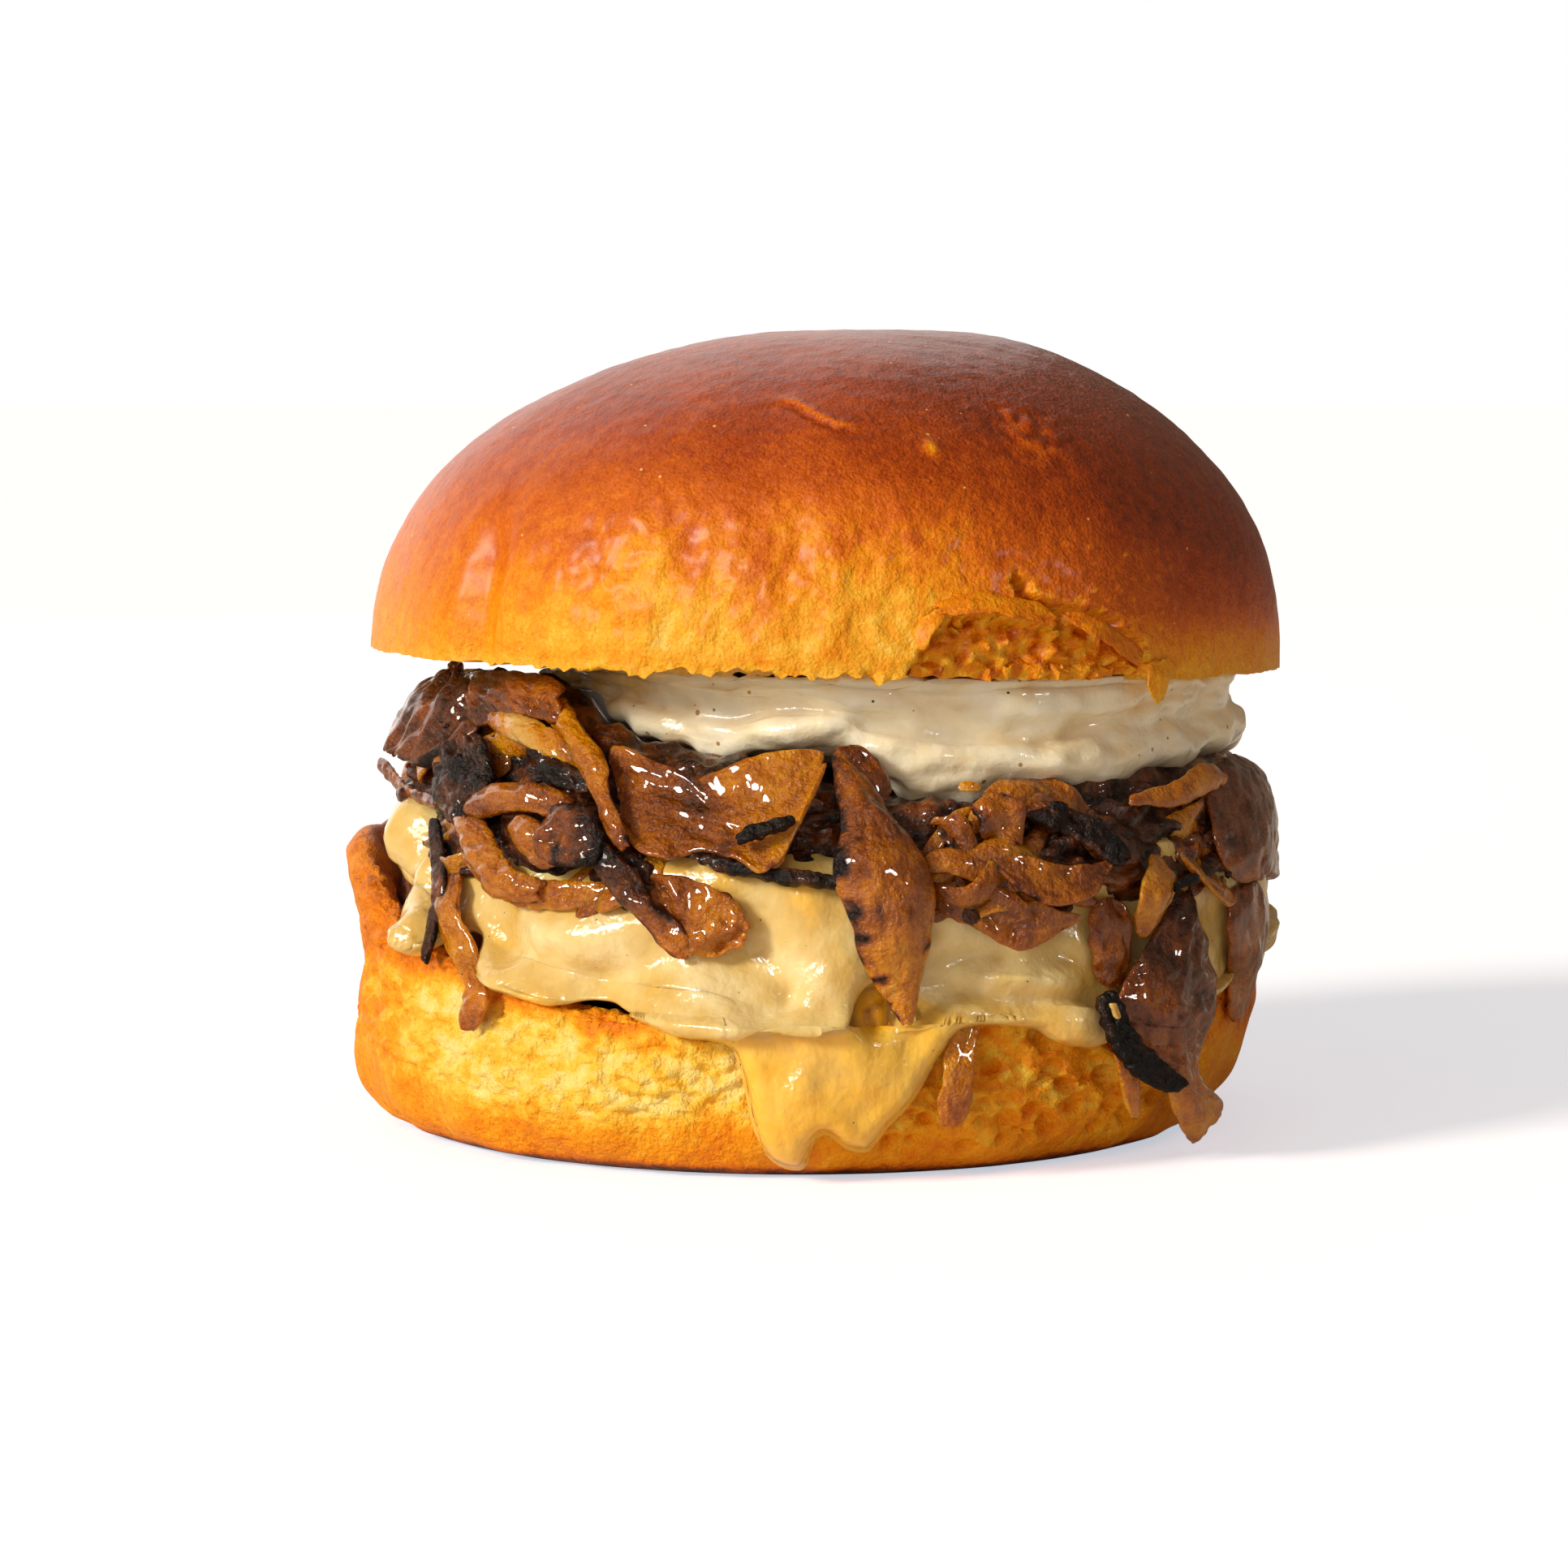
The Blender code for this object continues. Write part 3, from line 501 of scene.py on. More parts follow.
def heel_column(angle):
    """The heel's section: its foot, its wall, its rim and its dish."""
    points = [polar(HEEL_CENTRE, angle, HEEL_FOOT_RADIUS * 0.99 * i / 16, 0) for i in range(16)]
    rim = heel_rim(angle)
    for i in range(86):
        height = rim * 0.95 * (i / 86) ** 1.35
        points.append(polar(HEEL_CENTRE, angle, heel_radius(angle, height), height))
    dish = [Vector((heel_radius(angle, rim * 0.95), rim * 0.95)), Vector((54.0 * MM, rim * 0.99))]
    dish += [Vector((52.4 * MM, rim)), Vector((50.8 * MM, blend(HEEL_DISH, rim, 0.88)))]
    dish += [Vector((48.6 * MM, blend(HEEL_DISH, rim, 0.55))), Vector((43.0 * MM, HEEL_DISH))]
    dish.append(Vector((0.0, HEEL_DISH)))
    for radius, height in curve_points(dish, (6, 4, 3, 3, 3, 7)):
        points.append(polar(HEEL_CENTRE, angle, radius, height))
    return points


# Millimetres to a degree on the heel's wall, and the angles between which its pores lie.
HEEL_DEGREE = 0.956
PORE_ANGLES = (-82, -34)


def heel_pores():
    """Holes in the torn crumb at the front right, as (angle, height, radius, depth) in degrees and mm."""
    rand = random.Random(7)
    pores = []
    for _ in range(84):
        size = rand.uniform(0.4, 1.5)
        angle, height = rand.uniform(*PORE_ANGLES), rand.uniform(3.5, 17.0)
        pores.append((angle, height, size, size * rand.uniform(0.9, 1.6)))
    return pores


def heel_crust_line(angle):
    """Height above which the front's crust has torn away from the crumb."""
    return (6.2 + 4.5 * hump(angle, -165, 26) + 0.9 * uneven(angle, 0, 5.5, 5)) * MM


def heel_orange_line(angle):
    """Height above which the heel's left side is smooth and orange."""
    return blend(16.0, 19.5, smooth_step(-118, -143, angle)) * MM + 1.2 * MM * uneven(angle, 0, 5, 15)


def heel_torn(angle, height):
    """How much of the crumb shows: all of it at the front, none at the sides and the back."""
    front = smooth_step(-176, -160, angle) * (1 - smooth_step(-36, -20, angle)) if angle < 0 else 0.0
    return front * smooth_step(-2.2 * MM, 2.2 * MM, height - heel_crust_line(angle))


def heel_depth(point):
    angle, height = turn_of(point, HEEL_CENTRE), point.z
    torn = heel_torn(angle, height)
    fibres = 0.5 * lumps(point, 1.9 * MM, 3, 0.7) + 0.3 * lumps(point, 0.9 * MM, 4, 0.7)
    broad = 0.6 * lumps(point, 7 * MM, 1)
    depth = broad - 0.2 * torn + torn * fibres + 0.08 * lumps(point, 2 * MM, 9)
    if PORE_ANGLES[0] - 2 < angle < PORE_ANGLES[1] + 4:
        for turn, level, size, deep in HEEL_PORES:
            across = off(angle, turn) * HEEL_DEGREE
            away = math.hypot(across, (height / MM - level) * 1.2) / size
            if away < 1.3:
                depth -= deep * math.exp(-(away**4))
    foot = smooth_step(0.0, 2.0 * MM, height)
    return depth * MM * foot


def heel_tone(point):
    angle, height = turn_of(point, HEEL_CENTRE), point.z
    torn = heel_torn(angle, height)
    crust = blend(1.0, 0.46, smooth_step(0.3 * MM, 2.2 * MM, height)) + 0.10 * lumps(point, 5 * MM, 31)
    left = smooth_step(-0.5 * MM, 2.5 * MM, height - heel_orange_line(angle)) * smooth_step(-112, -124, angle)
    if angle > 0 or angle < -168:
        left = 0.7
    right = smooth_step(-100, -72, angle) * (1 if angle < 0 else 0)
    far_left = smooth_step(-138, -158, angle) * (1 if angle < 0 else 0)
    crumb = 0.15 + 0.27 * right + 0.30 * far_left + 0.16 * lumps(point, 4 * MM, 33, 0.6)
    crumb += 0.12 * lumps(point, 1.4 * MM, 34, 0.6)
    browned = 0.8 + 0.6 * lumps(point, 2 * MM, 36)
    browned *= bell(angle, -111, 7) * bell(height, 17.2 * MM, 2.2 * MM)
    tone = blend(crust, crumb, torn)
    tone = blend(tone, 0.66 + 0.06 * lumps(point, 5 * MM, 35), left)
    # Painted shade: the heel's right side, turned away from the key light, is made darker from about 9 mm up.
    right_side_shade = hump(angle, -22, 20, 4) * smooth_step(9 * MM, 16 * MM, height + 2 * MM * lumps(point, 6 * MM, 37))
    return clamp(tone + 0.45 * browned + 0.22 * right_side_shade)


HEEL_PORES = heel_pores()

HEEL_COLOURS = (
    (0.0, (0.93, 0.72, 0.22)),
    (0.22, (0.94, 0.57, 0.050)),
    (0.42, (0.93, 0.36, 0.003)),
    (0.66, (0.82, 0.21, 0.0)),
    (0.85, (0.36, 0.08, 0.003)),
    (1.0, (0.10, 0.024, 0.004)),
)


# The bun's crown

# The place at the front right where the crust has torn away, as (angle, millimetres above the underside).
TORN_OUTLINE = (
    (-81.5, -1.5), (-80.5, 1.8), (-78.6, 4.5), (-77.6, 8.0), (-76.1, 8.4), (-74.7, 7.1), (-72.0, 7.9),
    (-69.6, 7.3), (-66.0, 7.2), (-62.2, 5.8), (-64.6, 8.0), (-67.0, 9.2), (-68.0, 11.6), (-67.0, 12.8),
    (-65.9, 11.4), (-65.0, 9.9), (-61.1, 8.9), (-57.0, 8.3), (-53.5, 7.0), (-50.1, 5.0), (-48.7, 2.0),
    (-48.0, -1.5),
)

# Thin flakes of crust that have lifted at the torn place, and the flap that hangs below the edge. Each is two
# edges as points of (x, height above the underside, stand off the crust) in mm.
FLAKES = (
    ("upper", 0.44, (
        (11.4, 9.1, 0.1), (17.2, 10.3, 0.2), (24.8, 8.1, 0.1),
    ), (
        (12.3, 7.1, 1.0), (18.1, 7.9, 1.7), (25.4, 6.1, 1.3),
    )),
    ("right", 0.52, (
        (26.7, 8.4, 0.1), (30.8, 7.0, 0.2), (35.7, 3.6, 0.1),
    ), (
        (26.1, 7.0, 0.8), (30.3, 5.0, 1.4), (34.7, 1.5, 1.0),
    )),
    ("left", 0.34, (
        (8.8, 5.2, 0.1), (10.5, 7.7, 0.2), (12.3, 8.4, 0.1),
    ), (
        (10.2, 3.6, 0.8), (11.6, 5.7, 1.2), (13.2, 7.0, 0.9),
    )),
    ("flap", 0.28, (
        (35.6, 2.5, 0.3), (36.1, -0.2, 0.6), (37.0, -2.3, 0.5),
    ), (
        (39.3, 2.4, 0.3), (38.8, 0.0, 0.6), (37.6, -2.3, 0.5),
    )),
)
# The radius at which the torn place's angles are turned into millimetres.
TORN_RADIUS = 54
TORN_PLACE = tuple((math.radians(angle) * TORN_RADIUS, height) for angle, height in TORN_OUTLINE)
CROWN_UNDER_RINGS = 16
CROWN_WALL_RINGS = 164
# Marks in the glaze, as (angle, height in mm): a burst bubble, and a patch where the crust is rough.
BUBBLE = (-75.7, 25.8)
ROUGH_PATCH = (-57, 27.5)
# Where the thin crack shows and where the lower edge is frayed, as a hump's centre, half width and flatness.
SCAR_SPAN = (-93, 6.2, 4)
FRAYED_SPAN = (-92, 50, 6)


def crown_radius(angle, share):
    """Radius of the crown's wall. share is the height above its underside, from 0 to 1."""
    power = 2.25 + 0.1 * math.cos(math.radians(angle))
    curve = (1 - min(share, 1.0) ** power) ** (1 / power)
    edge = CROWN_RADIUS - 0.9 * MM * hump(angle, 0, 60) + 0.4 * MM * uneven(angle, 0, 2.0, 81)
    kissed = 1.6 * MM * hump(angle, -104, 32, 4) * (1 - smooth_step(0.3, 0.75, share))
    crease = 2.4 * MM * hump(angle, -138, 3.4) * (1 - smooth_step(0.25, 0.55, share))
    return edge * curve - kissed - crease + 0.5 * MM * uneven(angle, share * 30 * MM, 3.0, 91) * curve


def dome_swell(x, y):
    """Unevenness of the risen top: full at the right of the middle and a little low at the left."""
    high = 1.5 * math.exp(-((x / MM - 24) ** 2 + (y / MM) ** 2) / 17**2)
    low = 1.0 * math.exp(-((x / MM + 33) ** 2 + (y / MM) ** 2) / 15**2)
    return (high - low) * MM


def crown_column(angle):
    """The crown's section, from the middle of its underside out to the edge and up to the top."""
    front = hump(angle, -95, 45, 6)
    nick = max(noise.noise(Vector((math.radians(angle) * 14, 0.3, 5))), -0.1)
    nick += 0.5 * noise.noise(Vector((math.radians(angle) * 45, 1.3, 8)))
    edge = crown_radius(angle, 0.0)
    points = []
    for i in range(CROWN_UNDER_RINGS):
        share = (i / CROWN_UNDER_RINGS) ** 0.7
        points.append(polar((0, 0), angle, (edge - 0.5 * MM) * share, 0.25 * MM * front * share**8))
    for i in range(CROWN_WALL_RINGS + 1):
        share = math.sin(math.pi / 2 * i / CROWN_WALL_RINGS)
        near_edge = math.exp(-(share * CROWN_HEIGHT) / (1.4 * MM))
        point = polar((0, 0), angle, crown_radius(angle, share), CROWN_HEIGHT * share)
        wave = 0.4 * MM * uneven(angle, 0, 2.5, 111) * share * (1 - share**4)
        point.z += dome_swell(point.x, point.y) * share + wave
        point.z += near_edge * (1.3 * MM * nick * (0.25 + 0.75 * front) + 0.1 * MM)
        points.append(point)
    return points


def on_crown(x, height, stand):
    """The point at this x and height that stands off the front of the crown by this much."""
    y = -45 * MM
    for _ in range(4):
        radius = crown_radius(math.degrees(math.atan2(y, x)), max(height, 0.0) / CROWN_HEIGHT) + stand
        y = -math.sqrt(radius**2 - x**2)
    return Vector((x, y, height))


def torn_inside(angle, height):
    """How far inside the torn place this is in millimetres. Outside it is below 0."""
    if not -86 < angle < -42 or height > 17 * MM:
        return -9.0
    jag = 0.7 * noise.noise(Vector((angle * 0.8, height / MM * 0.9, 3)))
    jag += 0.5 * noise.noise(Vector((angle * 2.1, height / MM * 2.0, 9)))
    return inside_depth(TORN_PLACE, math.radians(angle) * TORN_RADIUS, height / MM) + jag


def crown_wrinkled(angle, height):
    """How wrinkled the crust is: most where the bread has been pressed, at the front below the middle."""
    across = hump(angle, -101, 31, 4)
    return across * smooth_step(1.0 * MM, 4.0 * MM, height) * (1 - smooth_step(15 * MM, 25 * MM, height))


def crown_scar(angle, height):
    """Millimetres above the thin crack in the glaze, high on the front."""
    wander = 0.5 * noise.noise(Vector((angle * 0.45, 2.0, 7.0)))
    return height / MM - blend(30.4, 27.6, smooth_step(-99, -87, angle)) - wander


def crown_depth(point):
    angle, height = turn_of(point), point.z
    wrinkled = crown_wrinkled(angle, height)
    folds = 0.55 * (0.5 - abs(lumps(point, 8.5 * MM, 51, 2.2)))
    folds += 0.5 * (0.3 - abs(lumps(point, 3.4 * MM, 52, 1.5)))
    folds += 0.26 * (0.3 - abs(lumps(point, 1.7 * MM, 60, 1.2)))
    depth = 0.14 * lumps(point, 13 * MM, 53) + wrinkled * 0.75 * folds
    depth += 0.06 * lumps(point, 2.2 * MM, 54)
    patch = bell(angle, ROUGH_PATCH[0], 7.5) * bell(height, ROUGH_PATCH[1] * MM, 3.6 * MM)
    depth += patch * (0.45 * abs(lumps(point, 2.1 * MM, 55)) - 0.1)
    scar = crown_scar(angle, height)
    depth += (0.3 * bell(scar, 0.35, 0.4) - 0.4 * bell(scar, -0.3, 0.3)) * hump(angle, *SCAR_SPAN)
    across, above = off(angle, BUBBLE[0]), height / MM - BUBBLE[1]
    depth += 0.45 * math.exp(-((across * 0.8) ** 2) - (above / 0.8) ** 2)
    inside = torn_inside(angle, height)
    if inside > -2.5:
        pits = 1.0 * lumps(point, 1.7 * MM, 56, 0.9) + 0.45 * lumps(point, 0.8 * MM, 57)
        depth -= smooth_step(0.0, 0.7, inside) * (2.0 + pits)
        depth += 0.2 * bell(inside, -0.45, 0.6) * smooth_step(1.5 * MM, 4.0 * MM, height)
    crumb = (1 - smooth_step(0.4 * MM, 2.2 * MM, height)) * hump(angle, *FRAYED_SPAN)
    depth += crumb * (0.5 * lumps(point, 1.3 * MM, 58) + 0.2 * lumps(point, 0.7 * MM, 59) - 0.3)
    return depth * MM


def crown_tone(point):
    angle, height = turn_of(point), point.z
    if height < 0.35 * MM and math.hypot(point.x, point.y) < CROWN_RADIUS - 3 * MM:
        return 0.1
    bake_and_shade = 0.31 + 0.50 * smooth_step(1.0 * MM, 33.0 * MM, height) ** 0.8
    # Painted shade: the crown's right side, turned away from the key light, is made darker above its lowest
    # few millimetres. The rest of this tone is the crust's real browning.
    bake_and_shade += 0.33 * hump(angle, -6, 56, 4) * smooth_step(2 * MM, 9 * MM, height)
    mottling = 0.6 * lumps(point, 5 * MM, 61, 1.6) + 0.5 * lumps(point, 1.8 * MM, 66, 1.2)
    bake_and_shade -= 0.18 * crown_wrinkled(angle, height) * (0.7 + mottling)
    bake_and_shade += 0.05 * lumps(point, 6 * MM, 62, 1.5)
    patch = bell(angle, ROUGH_PATCH[0], 8) * bell(height, ROUGH_PATCH[1] * MM, 3.8 * MM)
    bake_and_shade -= 0.3 * patch * clamp(0.4 + 1.2 * lumps(point, 1.9 * MM, 67))
    crumb = 1 - smooth_step(0.6 * MM, 2.4 * MM, height + 0.7 * MM * lumps(point, 2 * MM, 63))
    bake_and_shade = blend(bake_and_shade, 0.16, crumb * (0.35 + 0.65 * hump(angle, *FRAYED_SPAN)))
    inside = torn_inside(angle, height)
    if inside > -2.5:
        torn = 0.35 + 0.20 * lumps(point, 1.6 * MM, 64) + 0.12 * lumps(point, 0.7 * MM, 65)
        bake_and_shade = blend(bake_and_shade, torn, smooth_step(-0.1, 0.5, inside))
        bake_and_shade = blend(bake_and_shade, 0.14, clamp(0.45 + lumps(point, 1.5 * MM, 68)) * bell(inside, -0.25, 0.32))
    across, above = off(angle, BUBBLE[0]), height / MM - BUBBLE[1]
    bake_and_shade = blend(bake_and_shade, 0.12, 0.8 * math.exp(-(across**2) - above**2))
    # Painted light at the thin crack: its raised lip is painted paler as if lit, and the groove below it is
    # painted near black as its shade.
    scar, shown = crown_scar(angle, height), hump(angle, *SCAR_SPAN)
    bake_and_shade = blend(bake_and_shade, 0.30, 0.7 * bell(scar, 0.4, 0.35) * shown)
    return clamp(blend(bake_and_shade, 0.95, 0.6 * bell(scar, -0.3, 0.3) * shown), 0.0, 0.9)


CROWN_COLOURS = (
    (0.0, (0.93, 0.60, 0.14)),
    (0.15, (0.90, 0.44, 0.025)),
    (0.35, (0.84, 0.265, 0.0)),
    (0.55, (0.66, 0.130, 0.0)),
    (0.78, (0.40, 0.052, 0.0)),
    (1.0, (0.15, 0.017, 0.0)),
)


# The patty


def patty_column(angle):
    profile = ((0.0, 0.0), (0.84, 0.0), (0.97, 2.4), (1.0, 5.5), (1.01, 10.0), (0.98, 14.0), (0.9, 17.0))
    base = HEEL_DISH + 0.4 * MM
    keys = [Vector((PATTY_RADIUS * share, base + above * MM)) for share, above in profile]
    keys += [Vector((PATTY_RADIUS * 0.5, base + 17.4 * MM)), Vector((0.0, base + 17.4 * MM))]
    return [polar(HEEL_CENTRE, angle, r, h) for r, h in curve_points(keys, (4, 8, 8, 10, 10, 8, 8, 4))]


def patty_depth(point):
    crag = 0.8 * lumps(point, 5 * MM, 21) + 0.5 * lumps(point, 2 * MM, 22)
    return crag * MM * smooth_step(40 * MM, 46 * MM, math.hypot(point.x, point.y)) - 0.6 * MM


def patty_tone(point):
    return clamp(0.45 + 0.35 * lumps(point, 3 * MM, 24))


PATTY_COLOURS = ((0.0, (0.05, 0.016, 0.008)), (0.5, (0.16, 0.05, 0.02)), (1.0, (0.30, 0.11, 0.045)))


# The melted cheese

# Its lower edge, as (angle, height in mm). The main drip, in two lobes, is at -98 to -84.
CHEESE_EDGE = edge_round((
    (-172, 38.0), (-166, 37.0), (-163, 35.6), (-160, 32.4), (-156.5, 30.4), (-153.5, 29.6),
    (-150.5, 26.8), (-147.5, 23.6), (-144.5, 23.4), (-141, 26.0), (-138, 25.4), (-135.9, 22.4),
    (-131.5, 20.1), (-123.7, 19.1), (-119, 19.9), (-115.8, 19.9), (-113, 19.0), (-110.3, 17.9),
    (-107.5, 17.0), (-104.6, 16.3), (-101.8, 15.9), (-100.2, 14.8), (-99.4, 12.0), (-98.9, 6.4),
    (-98, 3.4), (-96.7, 1.9), (-95, 1.1), (-93.1, 1.0), (-92, 1.6), (-91.4, 4.2), (-90.8, 6.4),
    (-90, 5.6), (-88.3, 3.9), (-86.4, 3.3), (-84.6, 3.2), (-83.6, 5.2), (-82, 7.1), (-80.1, 8.8),
    (-78.3, 11.7), (-77, 14.4), (-75.6, 16.3), (-74.2, 17.3), (-71, 17.7), (-64.5, 17.3), (-61.5, 16.0),
    (-59.3, 14.7), (-57, 14.2), (-53, 14.8), (-46, 15.4), (-35, 17.5), (-22, 22.5), (-12, 20.5),
    (-3, 28.0), (8, 31.5), (20, 25.0), (32, 14.5), (40, 18.0), (55, 20.5), (70, 12.0), (80, 6.0),
    (87, 4.6), (94, 14.0), (104, 12.5), (112, 19.0), (128, 20.5), (138, 14.5), (147, 24.0), (156, 33.0),
    (166, 36.8),
))

# Where the upper fold of cheese ends in a thick lip over the thin sheet that runs on down into the drip.
CHEESE_FOLD = edge_round((
    (-180, 14.0), (-112, 14.5), (-108.5, 16.0), (-106, 16.7), (-100.8, 17.0), (-95.7, 17.7),
    (-90.9, 17.5), (-87.4, 18.2), (-86, 20.5), (-84, 22.5), (-80, 21.5), (-76, 19.5), (-70, 18.5),
    (-50, 18.0), (0, 34.0),
))


def cheese_hem(angle):
    return edge_height(CHEESE_EDGE, angle)


def support_radius(angle, height):
    """Outer radius of what the cheese lies on: the patty, and the heel below its rim."""
    patty = PATTY_RADIUS + 1.0 * MM
    rim = heel_rim(angle)
    if height > rim:
        heel = HEEL_RADIUS - 1.2 * MM - 1.6 * (height - rim)
    else:
        heel = heel_radius(angle, height)
    return rounder(patty, heel + HEEL_CENTRE[0] * math.cos(math.radians(angle)))


def drawn_in(angle):
    """How far the cheese stays back where it only just covers the patty."""
    return 5 * MM * smooth_step(34.5 * MM, 37 * MM, cheese_hem(angle))


def cheese_radius(angle, height):
    above = edge_above(CHEESE_EDGE, angle, height)
    wall = (CHEESE_WALL + 1.4 * MM * hump(angle, -92, 9)) * math.sqrt(1 - math.exp(-above / (1.5 * MM)))
    folds = 0.8 * MM * uneven(angle, height, 3.2, 41) * smooth_step(2 * MM, 6 * MM, above)
    return support_radius(angle, height) + wall + folds + cheese_lip(angle, height) * MM - drawn_in(angle)


def cheese_column(angle):
    """The cheese's section: over the patty and down inside to its hem, then up outside and over its top."""
    hem = cheese_hem(angle)
    shoulder = max(CHEESE_SHOULDER, hem + 1.5 * MM)
    top = max(CHEESE_TOP, shoulder + 2.0 * MM) + 2.5 * MM * hump(angle, -157, 9)
    flat = 45 * MM
    section = [(flat * i / 6, PATTY_TOP + 0.4 * MM) for i in range(6)]
    for i in range(8):
        level = max(blend(PATTY_TOP - 1.0 * MM, hem, i / 8), hem)
        radius = support_radius(angle, level) - 0.3 * MM - drawn_in(angle)
        section.append((radius, level + 0.05 * MM * (8 - i)))
    hem_rows, wall_rows, over_rows = 48, 64, 16
    even = max(hem + 1.0 * MM, 15.4 * MM)
    levels = [blend(hem, even, (i / hem_rows) ** 1.25) for i in range(hem_rows)]
    levels += [blend(even, shoulder, i / wall_rows) for i in range(wall_rows)]
    section += [(cheese_radius(angle, level), level) for level in levels]
    out, inner = cheese_radius(angle, shoulder), 40 * MM
    for i in range(over_rows):
        lift = math.radians(90 * i / over_rows)
        radius = blend(inner, out, math.cos(lift) ** 0.8)
        section.append((radius, blend(shoulder, top, math.sin(lift) ** 0.8)))
    section += [(inner * (1 - i / 4), top if i == 0 else CHEESE_TOP) for i in range(5)]
    return [polar((0, 0), angle, radius, level) for radius, level in section]


def cheese_lip(angle, height):
    """How far the upper fold stands out over the sheet below it, in millimetres."""
    window = hump(angle, -96.5, 12.5, 6)
    above = (height - edge_height(CHEESE_FOLD, angle)) / MM
    if above < -0.6 or window < 0.01:
        return 0.0
    return window * 1.9 * smooth_step(-0.6, 1.0, above) * math.exp(-max(above, 0.0) / 14)


# Soft blobs of cheese and hollows in it, as (angle, height, degrees wide, mm high, mm out).
CHEESE_BLOBS = (
    (-157, 40.6, 5.0, 3.2, 2.2), (-160, 34.6, 4.0, 3.6, 2.2), (-150, 31.0, 3.5, 4.5, 1.4),
    (-146, 26.0, 2.2, 3.0, 1.3), (-152.5, 36.0, 1.6, 3.0, -1.4), (-94.6, 21.8, 1.5, 1.3, -1.2),
    (-84.4, 19.6, 2.0, 2.0, -4.2), (-122, 26.5, 9.0, 2.2, 1.5), (-106, 21.6, 8.0, 2.4, 1.4),
    (-66, 22.0, 7.0, 1.6, 1.4), (-112, 31.5, 6.0, 1.8, -0.9), (-60.5, 17.2, 3.5, 2.0, 1.2),
    (-128, 22.8, 4.0, 1.5, 1.0), (-118, 22.0, 3.0, 1.6, -1.0), (-100, 26.0, 3.5, 3.0, -1.0),
    (-74, 25.0, 4.0, 1.4, -1.2), (-56, 20.0, 3.0, 1.6, -1.0),
)


def cheese_depth(point):
    angle, height = turn_of(point), point.z
    above = edge_above(CHEESE_EDGE, angle, height)
    outside = smooth_step(-1.0 * MM, 1.0 * MM, math.hypot(point.x, point.y) - support_radius(angle, height))
    flow = 1.15 * lumps(point, 11 * MM, 43, 1.1) + 0.5 * lumps(point, 4.8 * MM, 44, 1.1)
    depth = flow * smooth_step(0.5 * MM, 5 * MM, above)
    for turn, level, wide, tall, out in CHEESE_BLOBS:
        across = off(angle, turn) / wide
        if abs(across) < 2:
            depth += out * math.exp(-(across**2) - ((height / MM - level) / tall) ** 2)
    swept = math.sin(height / MM * 1.25 + angle * 0.22 + lumps(point, 8 * MM, 47))
    depth += 0.4 * swept * hump(angle, -67, 11, 4) * bell(height, 21 * MM, 5 * MM)
    thin = smooth_step(0.5, -0.5, (height - edge_height(CHEESE_FOLD, angle)) / MM) * hump(angle, -90, 13, 6)
    depth += 0.35 * bell(above, 1.8 * MM, 1.2 * MM) - 0.7 * thin
    return depth * MM * outside


def cheese_tone(point):
    """0 in the pale khaki folds, towards 1 where the thin cheese shows the orange bread below it."""
    angle, height = turn_of(point), point.z
    below = smooth_step(1.0, -1.0, (height - edge_height(CHEESE_FOLD, angle)) / MM)
    thin = below * hump(angle, -88, 20, 6)
    left = smooth_step(-121, -140, angle) * smooth_step(30 * MM, 24 * MM, height) * (1 if angle < 0 else 0)
    thin = max(thin, 0.6 * left, 0.55 * bell(height - cheese_hem(angle), 0, 2.2 * MM))
    # Partly a real oily stain and partly painted shade: a brown band high on the cheese, just under the
    # overhanging onions.
    stain_and_shade = bell(height, 34 * MM, 4 * MM) * (0.5 + 0.5 * lumps(point, 6 * MM, 46)) * 0.35
    # Painted shade: the deep hollow at -84.4 degrees, about 20 mm up, is painted dark brown.
    hollow_shade = 0.7 * math.exp(-((off(angle, -84.4) / 1.9) ** 2) - ((height / MM - 19.8) / 1.8) ** 2)
    pale = 0.14 + 0.18 * lumps(point, 6 * MM, 45, 0.8) + 0.06 * lumps(point, 1.8 * MM, 48)
    drip = blend(1.0, 0.8, smooth_step(6 * MM, 14 * MM, height))
    return clamp(blend(pale, 0.68, 0.85 * thin * drip) + stain_and_shade + hollow_shade)


CHEESE_COLOURS = (
    (0.0, (0.92, 0.72, 0.36)),
    (0.2, (0.80, 0.57, 0.21)),
    (0.36, (0.74, 0.47, 0.12)),
    (0.55, (1.0, 0.57, 0.08)),
    (0.78, (1.0, 0.45, 0.01)),
    (1.0, (0.25, 0.06, 0.01)),
)


# The truffle mayonnaise

# Its lower edge, as (angle, height in mm), which sags between the onions that it lies on.
MAYO_EDGE = edge_round((
    (-165, 53.5), (-143.3, 52.4), (-134.7, 49.7), (-124.8, 47.2), (-113.7, 45.6), (-107.4, 47.4),
    (-100.2, 48.3), (-94.2, 47.7), (-89.5, 44.5), (-83.7, 41.8), (-77.1, 40.9), (-68.8, 42.3),
    (-47.1, 42.9), (-34.9, 43.5), (-23.5, 44.4), (0, 45.5), (40, 42.5), (75, 45.0), (110, 43.0), (150, 48.5),
))

# The crease between its two folds, at the right.
MAYO_CREASE = edge_round((
    (-150, 56.0), (-100, 52.5), (-80, 49.6), (-66, 48.6), (-52, 51.0), (-40, 53.0), (0, 52.0), (90, 50.0),
))


def mayo_edge(angle):
    shrink = 5.5 * MM * hump(angle, 178, 55) - 2.6 * MM * hump(angle, -76, 24)
    return MAYO_RADIUS - shrink + 1.0 * MM * uneven(angle, 0, 2.4, 61)


